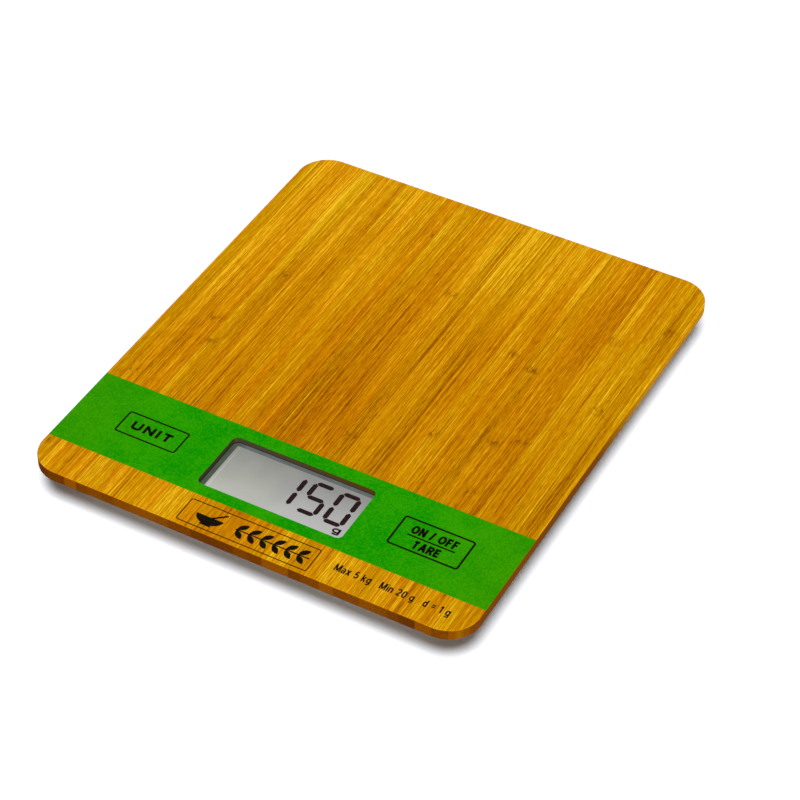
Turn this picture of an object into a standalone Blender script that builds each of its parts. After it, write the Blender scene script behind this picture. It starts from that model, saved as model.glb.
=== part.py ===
"""Slim electronic kitchen scale with a bamboo platform.

The bamboo board is the weighing platform. It carries the display and two touch keys, and a shallow
plastic housing is screwed to its underside. The whole scale stands on four load cells, each pressed
by its own foot, so all the weight passes through them.

Axes: +X to the right, +Y to the back, +Z up, in metres. The origin is on the table, under the
middle of the board. The display and the keys are along the front edge, at low Y.
"""

import math

import bmesh
import bpy
from mathutils import Matrix, Vector

# Board and housing
BOARD_WIDTH = 0.195
BOARD_DEPTH = 0.228
BOARD_THICKNESS = 0.0048
BOARD_CORNER = 0.014
BOARD_EDGE = 0.0006
HOUSING_INSET = 0.016
HOUSING_CORNER = 0.008
HOUSING_EDGE = 0.0022
SHELL = 0.0016
FOOT_DROP = 0.0030
GAP = 0.0003  # left between two pieces that touch

# Front panel, measured from the board's front edge
PANEL_FRONT = 0.0174
PANEL_BACK = 0.0589
PANEL_RECESS = 0.0005
FILM_THICKNESS = 0.0002
WINDOW_WIDTH = 0.0644
WINDOW_FRONT = 0.0229
WINDOW_BACK = 0.0524
WINDOW_CORNER = 0.0025
DISPLAY_SINK = 0.0027  # from the board's top face down to the display
KEY_X = 0.0628
KEY_FROM_FRONT = 0.0383
KEY_POCKET_RADIUS = 0.0090
KEY_GROOVE_LENGTH = 0.0170
KEY_GROOVE_WIDTH = 0.0018
KEY_GROOVE_DEPTH = 0.0021
TOUCH_PAD_RADIUS = 0.0070
TOUCH_PAD_THICKNESS = 0.0003
TOUCH_LEAD_RADIUS = 0.0005

# Feet and load cells
FOOT_X = 0.062
FOOT_Y = 0.0785
PAD_RADIUS = 0.0099
PAD_HEIGHT = 0.0015
CUP_RADIUS = 0.0127
CUP_RIM = 0.0009  # height of the cup's lower rim above the table
CUP_CHAMFER = 0.0005
CUP_CLEARANCE = 0.0005  # between the cup and its hole in the housing
FLANGE_RADIUS = 0.0150
FLANGE_THICKNESS = 0.0012
NOSE_RADIUS = 0.0040  # the raised middle of the cup, which presses the load cell
NOSE_HEIGHT = 0.0009
FOOT_STEPS = 24
CELL_PLATE = 0.0280
CELL_PLATE_THICKNESS = 0.0012
CELL_SLOT = 0.0016
TONGUE_HALF_WIDTH = 0.0065
TONGUE_REACH = 0.0090
BRACKET_WIDTH = 0.0320
BRACKET_CORNER = 0.0040
BRACKET_OPENING = 0.0220
BRACKET_FLANGE = (0.0280, 0.0100)
BRACKET_FLANGE_Y = 0.0190
BRACKET_SCREW = (0.0090, 0.0200)  # from the bracket's middle
CELL_LEAD_RADIUS = 0.0007

# Battery bay: two AAA cells side by side along X
BATTERY_LENGTH = 0.0445
BATTERY_RADIUS = 0.00525
BATTERY_PITCH = 0.0112
BAY_HALF_LENGTH = 0.0256
BAY_WALL = 0.0014
BAY_CEILING_THICKNESS = 0.0012
BAY_FRONT_LIP = 0.0010
BAY_BACK_LIP = 0.0030
DOOR_HALF_LENGTH = 0.0250
DOOR_HALF_WIDTH = 0.0112
TONGUE_X = 0.0140
TONGUE_WIDTH = 0.0060
TONGUE_THICKNESS = 0.0010
TONGUE_INNER = -0.0015  # the tongue runs from here, inside the opening ...
TONGUE_OUTER = 0.0018  # ... to here, over the housing's floor
CONTACT_THICKNESS = 0.0003
CONTACT_HEIGHT = 0.0090
CONTACT_WIDTH = 0.0090
BRIDGE_WIDTH = 0.0205
BATTERY_LEAD_RADIUS = 0.0006
LEAD_HOLE_RADIUS = 0.0011
THUMB_DENT_RADIUS = 0.0070

# Screws
SCREW_RADIUS = 0.00125
SCREW_HOLE = SCREW_RADIUS + GAP
SCREW_HEAD_RADIUS = 0.0024
SCREW_HEAD_HEIGHT = 0.0012
SCREW_BITE = 0.0023  # how far a screw goes up into the board
BOSS_RADIUS = 0.0046
EAR_THICKNESS = 0.0030
COUNTERBORE = SCREW_HEAD_RADIUS + 0.0006

# Heights above the table, worked up from the feet
HOUSING_BOTTOM = FOOT_DROP
FLOOR_TOP = HOUSING_BOTTOM + SHELL
BATTERY_AXIS = FLOOR_TOP + GAP + BATTERY_RADIUS
BAY_CEILING = BATTERY_AXIS + BATTERY_RADIUS + GAP
HOUSING_TOP = BAY_CEILING + BAY_CEILING_THICKNESS
BOARD_BOTTOM = HOUSING_TOP + GAP
BOARD_TOP = BOARD_BOTTOM + BOARD_THICKNESS
DISPLAY_TOP = BOARD_TOP - DISPLAY_SINK
EAR_BOTTOM = HOUSING_TOP - EAR_THICKNESS
SCREW_TIP = BOARD_BOTTOM + SCREW_BITE

# Display stack, worked down from its front
POLARISER_THICKNESS = 0.0002
GLASS_THICKNESS = 0.0020
GLASS_TOP = DISPLAY_TOP - POLARISER_THICKNESS - GAP
GLASS_BOTTOM = GLASS_TOP - GLASS_THICKNESS
PCB_TOP = 0.0126
PCB_THICKNESS = 0.0012
PCB_BOTTOM = PCB_TOP - PCB_THICKNESS
POLARISER_SIZE = (0.0620, 0.0280)
POLARISER_SHIFT = (0.0010, -0.0012)  # from the window's middle
GLASS_SIZE = (0.0700, 0.0340)
FRAME_SIZE = (0.0744, 0.0384)
FRAME_OPENING = (0.0660, 0.0300)
FRAME_EAR = (0.0120, 0.0080)
FRAME_EAR_SHIFT = 0.0015  # ears lie this far inwards of their screws
STRIP_SIZE = (0.0600, 0.0024)
STRIP_Y = -0.0130  # from the window's middle
PCB_SIZE = (0.0880, 0.0330)
PCB_SCREW = (0.0410, 0.0135)  # from the window's middle
CHIP_RADIUS = 0.0060
CHIP_HEIGHT = 0.0014
CHIP_PLACE = (-0.0120, -0.0020)  # from the window's middle

# Positions worked out from the sizes above
DISPLAY_Y = -BOARD_DEPTH / 2 + (WINDOW_FRONT + WINDOW_BACK) / 2
KEY_Y = -BOARD_DEPTH / 2 + KEY_FROM_FRONT
KEY_POCKET_TOP = BOARD_TOP - 0.0020
CUP_FLANGE_BOTTOM = FLOOR_TOP + GAP
CUP_FLANGE_TOP = CUP_FLANGE_BOTTOM + FLANGE_THICKNESS
CUP_TOP = CUP_FLANGE_TOP + NOSE_HEIGHT
LOAD_CELL_BOTTOM = CUP_TOP + GAP
LOAD_CELL_TOP = LOAD_CELL_BOTTOM + CELL_PLATE_THICKNESS
BAY_FRONT = -DOOR_HALF_WIDTH - BAY_FRONT_LIP
BAY_BACK = DOOR_HALF_WIDTH + BAY_BACK_LIP
CONTACT_FACE = BAY_HALF_LENGTH - GAP - CONTACT_THICKNESS
NUB_TIP = CONTACT_FACE - GAP

HOUSING_SCREWS = (
    (-0.070, -0.028),
    (0.070, -0.028),
    (-0.070, 0.028),
    (0.070, 0.028),
    (0.0, -0.046),
    (0.0, 0.086),
)
CORNERS = {
    "front_left": (-1, -1),
    "front_right": (1, -1),
    "back_left": (-1, 1),
    "back_right": (1, 1),
}

# Each material: colour, roughness, metallic
MATERIALS = {
    "bamboo": ((0.62, 0.29, 0.02), 0.45, 0.0),
    "green_film": ((0.02, 0.34, 0.0), 0.5, 0.0),
    "display_grey": ((0.42, 0.43, 0.40), 0.3, 0.0),
    "display_glass": ((0.16, 0.18, 0.18), 0.1, 0.0),
    "black_plastic": ((0.03, 0.03, 0.03), 0.45, 0.0),
    "white_plastic": ((0.72, 0.72, 0.70), 0.45, 0.0),
    "silicone": ((0.55, 0.25, 0.30), 0.6, 0.0),
    "circuit_green": ((0.02, 0.16, 0.06), 0.4, 0.0),
    "epoxy": ((0.02, 0.02, 0.02), 0.3, 0.0),
    "brass": ((0.70, 0.48, 0.18), 0.35, 1.0),
    "spring_steel": ((0.60, 0.60, 0.60), 0.3, 1.0),
    "screw_steel": ((0.55, 0.55, 0.56), 0.35, 1.0),
    "rubber": ((0.05, 0.05, 0.05), 0.85, 0.0),
    "battery_wrap": ((0.10, 0.22, 0.45), 0.35, 0.0),
    "lead_black": ((0.02, 0.02, 0.02), 0.5, 0.0),
    "lead_red": ((0.50, 0.02, 0.02), 0.5, 0.0),
    "lead_white": ((0.75, 0.75, 0.72), 0.5, 0.0),
}


def clear_scene():
    for obj in list(bpy.data.objects):
        bpy.data.objects.remove(obj, do_unlink=True)


def new_collection(name):
    collection = bpy.data.collections.new(name)
    bpy.context.scene.collection.children.link(collection)
    return collection


def make_material(name, label):
    colour, roughness, metallic = MATERIALS[name]
    material = bpy.data.materials.new(f"{label}_{name}")
    material.use_nodes = True
    shader = material.node_tree.nodes["Principled BSDF"]
    shader.inputs["Base Color"].default_value = (*colour, 1.0)
    shader.inputs["Roughness"].default_value = roughness
    shader.inputs["Metallic"].default_value = metallic
    return material


def add_part(name, data, material, location=(0.0, 0.0, 0.0)):
    """Makes an object of a mesh or curve, as one named piece of the scale."""
    obj = bpy.data.objects.new(name, data)
    obj.location = location
    data.materials.append(make_material(material, name))
    PARTS.objects.link(obj)
    return obj


def add_copy(name, source, location, turn=0.0):
    """Another piece that shares its mesh with the source, turned about Z."""
    obj = bpy.data.objects.new(name, source.data)
    obj.location = location
    obj.rotation_euler = (0.0, 0.0, turn)
    PARTS.objects.link(obj)
    return obj


def add_tool(name, mesh, location=(0.0, 0.0, 0.0)):
    """Makes a hidden object that only cuts or joins."""
    obj = bpy.data.objects.new(name, mesh)
    obj.location = location
    obj.hide_render = True
    obj.display_type = "WIRE"
    TOOLS.objects.link(obj)
    return obj


def boolean(obj, tool, operation):
    modifier = obj.modifiers.new(tool.name, "BOOLEAN")
    modifier.operation = operation
    modifier.solver = "EXACT"
    modifier.object = tool


def cut(obj, *tools):
    for tool in tools:
        boolean(obj, tool, "DIFFERENCE")


def join(obj, *tools):
    for tool in tools:
        boolean(obj, tool, "UNION")


def realise(obj):
    """Turns an object's modifiers into plain mesh, so that its copies can share it."""
    bpy.context.view_layer.update()
    evaluated = obj.evaluated_get(bpy.context.evaluated_depsgraph_get())
    mesh = bpy.data.meshes.new_from_object(evaluated)
    obj.modifiers.clear()
    obj.data = mesh
    return obj


def mesh_from(bm, name):
    mesh = bpy.data.meshes.new(name)
    bm.to_mesh(mesh)
    bm.free()
    return mesh


def box_mesh(name, size, places=((0.0, 0.0, 0.0),)):
    """One box at each place."""
    bm = bmesh.new()
    for place in places:
        made = bmesh.ops.create_cube(bm, size=1.0)
        bmesh.ops.scale(bm, vec=size, verts=made["verts"])
        bmesh.ops.translate(bm, vec=place, verts=made["verts"])
    return mesh_from(bm, name)


def plate_mesh(name, size, corner, corner_steps=6, edge=0.0, edge_steps=2, edge_sides=(-1, 1)):
    """A box with rounded upright corners, and a rounded rim on its top (1) or bottom (-1) face."""
    bm = bmesh.new()
    bmesh.ops.create_cube(bm, size=1.0)
    bmesh.ops.scale(bm, vec=size, verts=bm.verts)
    upright = [e for e in bm.edges if e.verts[0].co.z * e.verts[1].co.z < 0]
    bmesh.ops.bevel(
        bm, geom=upright, offset=corner, segments=corner_steps, profile=0.5, affect="EDGES"
    )
    if edge:
        rims = [
            e
            for e in bm.edges
            for side in edge_sides
            if min(side * v.co.z for v in e.verts) > 0.49 * size[2]
        ]
        bmesh.ops.bevel(
            bm, geom=rims, offset=edge, segments=edge_steps, profile=0.5, affect="EDGES"
        )
    return mesh_from(bm, name)


def cylinder_mesh(name, places, radius, low, high, sides):
    """One upright cylinder at each (x, y), from height low to height high."""
    bm = bmesh.new()
    for x, y in places:
        made = bmesh.ops.create_cone(
            bm,
            cap_ends=True,
            segments=sides,
            radius1=radius,
            radius2=radius,
            depth=high - low,
        )
        bmesh.ops.translate(bm, vec=(x, y, (low + high) / 2), verts=made["verts"])
    return mesh_from(bm, name)


def turn_profile(obj, steps):
    """Spins an object's profile once about Z."""
    screw = obj.modifiers.new("turn", "SCREW")
    screw.axis = "Z"
    screw.angle = math.tau
    screw.steps = steps
    screw.render_steps = steps
    screw.use_merge_vertices = True
    screw.merge_threshold = 0.00001


def profile_mesh(name, points):
    """A chain of edges in the XZ plane, from (radius, height) points that run top to bottom."""
    mesh = bpy.data.meshes.new(name)
    vertices = [(radius, 0.0, height) for radius, height in points]
    edges = [(i, i + 1) for i in range(len(points) - 1)]
    mesh.from_pydata(vertices, edges, [])
    return mesh


def smooth_shade(obj, angle=math.radians(40)):
    obj.data.shade_smooth()
    obj.data.set_sharp_from_angle(angle=angle)


def smooth_route(points, spacing):
    """Points about one spacing apart on a smooth curve through the given ones (Catmull-Rom)."""
    knots = [Vector(p) for p in points]
    knots = [2 * knots[0] - knots[1], *knots, 2 * knots[-1] - knots[-2]]
    route = [knots[1]]
    for before, start, end, after in zip(knots, knots[1:], knots[2:], knots[3:]):
        count = max(1, round((end - start).length / spacing))
        for i in range(1, count + 1):
            t = i / count
            route.append(
                0.5
                * (
                    2 * start
                    + (end - before) * t
                    + (2 * before - 5 * start + 4 * end - after) * t**2
                    + (3 * start - before - 3 * end + after) * t**3
                )
            )
    return route


def wire_curve(name, points, radius):
    """A round wire along the points, closed at both ends."""
    curve = bpy.data.curves.new(name, "CURVE")
    curve.dimensions = "3D"
    curve.bevel_depth = radius
    curve.bevel_resolution = 2
    curve.use_fill_caps = True
    spline = curve.splines.new("POLY")
    spline.points.add(len(points) - 1)
    for spot, point in zip(spline.points, points):
        spot.co = (*point, 1.0)
    return curve


def corner_place(signs, height=0.0):
    return (signs[0] * FOOT_X, signs[1] * FOOT_Y, height)


# Board, film and keys


def bracket_screw_places():
    """The two screws of each load cell bracket, on its side towards the middle of the scale."""
    along, inwards = BRACKET_SCREW
    return {
        name: [(sx * FOOT_X + side * along, sy * (FOOT_Y - inwards)) for side in (-1, 1)]
        for name, (sx, sy) in CORNERS.items()
    }


def pcb_screw_places():
    """Two opposite corners of the circuit board."""
    x, y = PCB_SCREW
    return [(-x, DISPLAY_Y - y), (x, DISPLAY_Y + y)]


def window_tool(name):
    size = (WINDOW_WIDTH, WINDOW_BACK - WINDOW_FRONT, 0.02)
    mesh = plate_mesh(name, size, WINDOW_CORNER, corner_steps=4)
    return add_tool(name, mesh, (0.0, DISPLAY_Y, BOARD_TOP))


def panel_place(height):
    return (0.0, -BOARD_DEPTH / 2 + (PANEL_FRONT + PANEL_BACK) / 2, height)


def build_platform_board():
    """The bamboo board, with the display window, the pockets in its underside and screw holes."""
    size = (BOARD_WIDTH, BOARD_DEPTH, BOARD_THICKNESS)
    mesh = plate_mesh("platform_board", size, BOARD_CORNER, corner_steps=8, edge=BOARD_EDGE)
    middle = (BOARD_BOTTOM + BOARD_TOP) / 2
    board = add_part("platform_board", mesh, "bamboo", (0.0, 0.0, middle))

    panel_size = (BOARD_WIDTH * 1.1, PANEL_BACK - PANEL_FRONT, 2 * PANEL_RECESS)
    panel = add_tool("panel_recess", box_mesh("panel_recess", panel_size), panel_place(BOARD_TOP))

    pocket_top = DISPLAY_TOP + GAP
    pocket_size = (FRAME_SIZE[0] + 2 * GAP, FRAME_SIZE[1] + 2 * GAP, 0.01)
    pocket_mesh = plate_mesh("display_pocket", pocket_size, 0.002, corner_steps=3)
    pocket = add_tool("display_pocket", pocket_mesh, (0.0, DISPLAY_Y, pocket_top - 0.005))

    keys = [(-KEY_X, KEY_Y), (KEY_X, KEY_Y)]
    key_mesh = cylinder_mesh(
        "key_pockets", keys, KEY_POCKET_RADIUS, BOARD_BOTTOM - 0.002, KEY_POCKET_TOP, 24
    )
    groove_middle = KEY_X - KEY_POCKET_RADIUS + 0.002 - KEY_GROOVE_LENGTH / 2
    grooves = box_mesh(
        "key_lead_grooves",
        (KEY_GROOVE_LENGTH, KEY_GROOVE_WIDTH, 2 * KEY_GROOVE_DEPTH),
        [(side * groove_middle, KEY_Y, BOARD_BOTTOM) for side in (-1, 1)],
    )

    places = list(HOUSING_SCREWS) + pcb_screw_places()
    for pair in bracket_screw_places().values():
        places += pair
    pilots = cylinder_mesh(
        "board_pilot_holes", places, SCREW_HOLE, BOARD_BOTTOM - 0.002, SCREW_TIP + GAP, 10
    )
    cut(
        board,
        panel,
        window_tool("board_window"),
        pocket,
        add_tool("key_pockets", key_mesh),
        add_tool("key_lead_grooves", grooves),
        add_tool("board_pilot_holes", pilots),
    )


def build_panel_film():
    """The printed film that lies in the board's shallow recess."""
    size = (BOARD_WIDTH - 2 * GAP, PANEL_BACK - PANEL_FRONT - 2 * GAP, FILM_THICKNESS)
    height = BOARD_TOP - FILM_THICKNESS / 2
    mesh = box_mesh("control_panel_film", size)
    film = add_part("control_panel_film", mesh, "green_film", panel_place(height))
    cut(film, window_tool("film_window"))


def build_touch_keys():
    """A metal pad under each printed key, and its lead to the circuit board."""
    pad_top = KEY_POCKET_TOP - GAP
    for name, side in (("unit", -1), ("tare", 1)):
        pad = f"touch_pad_{name}"
        mesh = cylinder_mesh(pad, [(0.0, 0.0)], TOUCH_PAD_RADIUS, -TOUCH_PAD_THICKNESS, 0.0, 20)
        add_part(pad, mesh, "brass", (side * KEY_X, KEY_Y, pad_top))
        height = pad_top - TOUCH_PAD_THICKNESS - GAP - TOUCH_LEAD_RADIUS
        route = [
            (side * 0.060, KEY_Y, height),
            (side * 0.050, KEY_Y, height),
            (side * 0.0435, KEY_Y, height - 0.0008),
            (side * 0.0415, KEY_Y, height - 0.0030),
            (side * 0.0412, KEY_Y, PCB_TOP + GAP),
        ]
        points = smooth_route(route, 0.0022)
        lead = f"touch_lead_{name}"
        add_part(lead, wire_curve(lead, points, TOUCH_LEAD_RADIUS), "lead_white")


# Display and circuit board


def build_display():
    """Polariser and glass cell, the frame that holds them, and the strip to the circuit board."""
    size = (*POLARISER_SIZE, POLARISER_THICKNESS)
    shift_x, shift_y = POLARISER_SHIFT
    place = (shift_x, DISPLAY_Y + shift_y, DISPLAY_TOP - POLARISER_THICKNESS / 2)
    add_part("display_polariser", box_mesh("display_polariser", size), "display_grey", place)

    size = (*GLASS_SIZE, GLASS_THICKNESS)
    place = (0.0, DISPLAY_Y, (GLASS_TOP + GLASS_BOTTOM) / 2)
    add_part("display_glass", box_mesh("display_glass", size), "display_glass", place)

    strip_low = PCB_TOP + GAP
    strip_high = GLASS_BOTTOM - GAP
    size = (*STRIP_SIZE, strip_high - strip_low)
    place = (0.0, DISPLAY_Y + STRIP_Y, (strip_low + strip_high) / 2)
    mesh = box_mesh("display_connector_strip", size)
    add_part("display_connector_strip", mesh, "silicone", place)
    build_display_frame()


def build_display_frame():
    """A black frame whose ledge holds the glass, with an ear for each circuit board screw."""
    low = PCB_TOP + GAP
    ledge = GLASS_BOTTOM - GAP
    size = (*FRAME_SIZE, DISPLAY_TOP - low)
    mesh = plate_mesh("display_frame", size, 0.0018, corner_steps=3)
    middle = (0.0, DISPLAY_Y, (low + DISPLAY_TOP) / 2)
    frame = add_part("display_frame", mesh, "black_plastic", middle)

    seat_size = (GLASS_SIZE[0] + 2 * GAP, GLASS_SIZE[1] + 2 * GAP, 0.01)
    seat = add_tool("glass_seat", box_mesh("glass_seat", seat_size))
    seat.location = (0.0, DISPLAY_Y, ledge + seat_size[2] / 2)
    opening = add_tool("frame_opening", box_mesh("frame_opening", (*FRAME_OPENING, 0.03)))
    opening.location = (0.0, DISPLAY_Y, ledge)
    ears = [
        (x - math.copysign(FRAME_EAR_SHIFT, x), y, (low + HOUSING_TOP) / 2)
        for x, y in pcb_screw_places()
    ]
    ear_mesh = box_mesh("frame_ears", (*FRAME_EAR, HOUSING_TOP - low), ears)
    holes = cylinder_mesh("ear_holes", pcb_screw_places(), SCREW_HOLE, 0.0, BOARD_TOP, 12)
    join(frame, add_tool("frame_ears", ear_mesh))
    cut(frame, seat, opening, add_tool("ear_holes", holes))


def build_circuit_board():
    """The board under the display, and the round blob of potting over its chip."""
    size = (*PCB_SIZE, PCB_THICKNESS)
    mesh = plate_mesh("circuit_board", size, 0.001, corner_steps=2)
    place = (0.0, DISPLAY_Y, PCB_TOP - PCB_THICKNESS / 2)
    board = add_part("circuit_board", mesh, "circuit_green", place)
    holes = cylinder_mesh("circuit_board_holes", pcb_screw_places(), SCREW_HOLE, 0.0, BOARD_TOP, 12)
    cut(board, add_tool("circuit_board_holes", holes))

    rings = 4
    angles = [i * math.pi / 2 / rings for i in range(rings)]
    dome = [(CHIP_RADIUS * math.cos(a), -CHIP_HEIGHT * math.sin(a)) for a in angles]
    mesh = profile_mesh("circuit_board_chip", [(0.0, 0.0), *dome, (0.0, -CHIP_HEIGHT)])
    place = (CHIP_PLACE[0], DISPLAY_Y + CHIP_PLACE[1], PCB_BOTTOM - GAP)
    chip = add_part("circuit_board_chip", mesh, "epoxy", place)
    turn_profile(chip, 20)
    smooth_shade(chip)


# Screws


def screw_mesh(name, length):
    """A pan head screw, head down, with the top of its head at height 0 and a cross in it."""
    profile = [
        (0.0, length),
        (SCREW_RADIUS, length - 0.0014),
        (SCREW_RADIUS, 0.0),
        (SCREW_HEAD_RADIUS, 0.0),
        (SCREW_HEAD_RADIUS, -0.6 * SCREW_HEAD_HEIGHT),
        (0.75 * SCREW_HEAD_RADIUS, -SCREW_HEAD_HEIGHT),
        (0.0, -SCREW_HEAD_HEIGHT),
    ]
    screw = add_part(name, profile_mesh(name, profile), "screw_steel")
    turn_profile(screw, 12)
    slot = (0.0026, 0.0006, 0.0016)
    across = (slot[1], slot[0], slot[2])
    depth = (0.0, 0.0, -SCREW_HEAD_HEIGHT)
    cut(
        screw,
        add_tool(f"{name}_slot", box_mesh(f"{name}_slot", slot), depth),
        add_tool(f"{name}_slot_across", box_mesh(f"{name}_slot_across", across), depth),
    )
    realise(screw)
    smooth_shade(screw)
    return screw


def build_screws():
    head_top = EAR_BOTTOM - GAP
    first = screw_mesh("housing_screw_1", SCREW_TIP - head_top)
    first.location = (*HOUSING_SCREWS[0], head_top)
    for number, place in enumerate(HOUSING_SCREWS[1:], 2):
        add_copy(f"housing_screw_{number}", first, (*place, head_top))
    for corner, pair in bracket_screw_places().items():
        for number, place in enumerate(pair, 1):
            add_copy(f"bracket_screw_{corner}_{number}", first, (*place, head_top))

    pcb_head_top = PCB_BOTTOM - GAP
    places = pcb_screw_places()
    long_screw = screw_mesh("circuit_board_screw_1", SCREW_TIP - pcb_head_top)
    long_screw.location = (*places[0], pcb_head_top)
    add_copy("circuit_board_screw_2", long_screw, (*places[1], pcb_head_top))


# Feet and load cells


def build_feet():
    """A plastic cup and a rubber pad at each corner, both turned about the foot's own axis."""
    seat_radius = PAD_RADIUS + GAP + 0.0001
    pad_chamfer = 0.0003
    cup_profile = [
        (0.0, CUP_TOP),
        (NOSE_RADIUS, CUP_TOP),
        (NOSE_RADIUS, CUP_FLANGE_TOP),
        (FLANGE_RADIUS, CUP_FLANGE_TOP),
        (FLANGE_RADIUS, CUP_FLANGE_BOTTOM),
        (CUP_RADIUS, CUP_FLANGE_BOTTOM),
        (CUP_RADIUS, CUP_RIM + CUP_CHAMFER),
        (CUP_RADIUS - CUP_CHAMFER, CUP_RIM),
        (seat_radius, CUP_RIM),
        (seat_radius, PAD_HEIGHT + GAP),
        (0.0, PAD_HEIGHT + GAP),
    ]
    pad_profile = [
        (0.0, PAD_HEIGHT),
        (PAD_RADIUS, PAD_HEIGHT),
        (PAD_RADIUS, pad_chamfer),
        (PAD_RADIUS - pad_chamfer, 0.0),
        (0.0, 0.0),
    ]
    for corner, signs in CORNERS.items():
        for kind, profile, material in (
            ("foot_cup", cup_profile, "black_plastic"),
            ("foot_pad", pad_profile, "rubber"),
        ):
            name = f"{kind}_{corner}"
            foot = add_part(name, profile_mesh(name, profile), material, corner_place(signs))
            turn_profile(foot, FOOT_STEPS)
            smooth_shade(foot)


def load_cell(name):
    """A square steel plate whose slot frees a tongue, which the foot presses."""
    size = (CELL_PLATE, CELL_PLATE, CELL_PLATE_THICKNESS)
    plate = add_part(name, plate_mesh(name, size, 0.002, corner_steps=3), "spring_steel")
    through = 0.01
    sides = box_mesh(
        "tongue_sides",
        (CELL_SLOT, 2 * TONGUE_REACH, through),
        [(side * TONGUE_HALF_WIDTH, 0.0, 0.0) for side in (-1, 1)],
    )
    end_size = (2 * TONGUE_HALF_WIDTH + CELL_SLOT, CELL_SLOT, through)
    end = box_mesh("tongue_end", end_size, [(0.0, TONGUE_REACH, 0.0)])
    cut(plate, add_tool("tongue_sides", sides), add_tool("tongue_end", end))
    return realise(plate)


def load_cell_bracket(name):
    """A square plastic ring that holds the load cell's rim, with a screw flange on one side."""
    low = LOAD_CELL_BOTTOM - GAP
    middle = (low + HOUSING_TOP) / 2
    size = (BRACKET_WIDTH, BRACKET_WIDTH, HOUSING_TOP - low)
    mesh = plate_mesh(name, size, BRACKET_CORNER, corner_steps=3)
    ring = add_part(name, mesh, "white_plastic", (0.0, 0.0, middle))
    flange_mesh = box_mesh("bracket_flange", (*BRACKET_FLANGE, EAR_THICKNESS))
    flange = add_tool("bracket_flange", flange_mesh)
    flange.location = (0.0, BRACKET_FLANGE_Y, HOUSING_TOP - EAR_THICKNESS / 2)
    opening_mesh = box_mesh("bracket_opening", (BRACKET_OPENING, BRACKET_OPENING, 0.05))
    opening = add_tool("bracket_opening", opening_mesh, (0.0, 0.0, middle))
    seat_size = (CELL_PLATE + 2 * GAP, CELL_PLATE + 2 * GAP, 0.01)
    seat = add_tool("bracket_seat", box_mesh("bracket_seat", seat_size))
    seat.location = (0.0, 0.0, LOAD_CELL_TOP + GAP - seat_size[2] / 2)
    places = [(side * BRACKET_SCREW[0], BRACKET_SCREW[1]) for side in (-1, 1)]
    holes = cylinder_mesh("bracket_holes", places, SCREW_HOLE, 0.0, BOARD_TOP, 12)
    join(ring, flange)
    cut(ring, opening, seat, add_tool("bracket_holes", holes))
    return realise(ring), middle


def build_load_cells():
    """The front left cell and bracket, and turned copies of both at the other corners."""
    cell_height = (LOAD_CELL_BOTTOM + LOAD_CELL_TOP) / 2
    cell = load_cell("load_cell_front_left")
    ring, ring_height = load_cell_bracket("load_cell_bracket_front_left")
    for corner, signs in CORNERS.items():
        turn = 0.0 if signs[1] < 0 else math.pi
        if corner == "front_left":
            cell.location = corner_place(signs, cell_height)
            ring.location = corner_place(signs, ring_height)
            continue
        add_copy(f"load_cell_{corner}", cell, corner_place(signs, cell_height), turn)
        add_copy(f"load_cell_bracket_{corner}", ring, corner_place(signs, ring_height), turn)


def build_load_cell_leads():
    """The leads run along the housing's floor, then up to the circuit board.

    Each route is given for the right-hand side, and the left-hand one mirrors it.
    """
    low = FLOOR_TOP + 2 * GAP + CELL_LEAD_RADIUS
    front = [(0.0488, -0.0683, low), (0.0440, -0.0655, low), (0.0370, -0.0640, low + 0.0006)]
    back = [
        (0.0488, 0.0683, low),
        (0.0420, 0.0620, low),
        (0.0385, 0.0450, low),
        (0.0380, 0.0, low),
        (0.0370, -0.0380, low),
        (0.0310, -0.0560, low),
        (0.0265, -0.0620, low + 0.0012),
    ]
    for corner, (sx, sy) in CORNERS.items():
        route = list(front if sy < 0 else back)
        last = route[-1]
        route.append((last[0] - 0.0030, last[1] - 0.0012, low + 0.0030))
        route.append((last[0] - 0.0034, last[1] - 0.0014, PCB_BOTTOM - GAP))
        spacing = 0.003 if sy < 0 else 0.0075
        points = smooth_route([(sx * x, y, z) for x, y, z in route], spacing)
        name = f"load_cell_lead_{corner}"
        add_part(name, wire_curve(name, points, CELL_LEAD_RADIUS), "lead_white")


# Housing and battery bay


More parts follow.
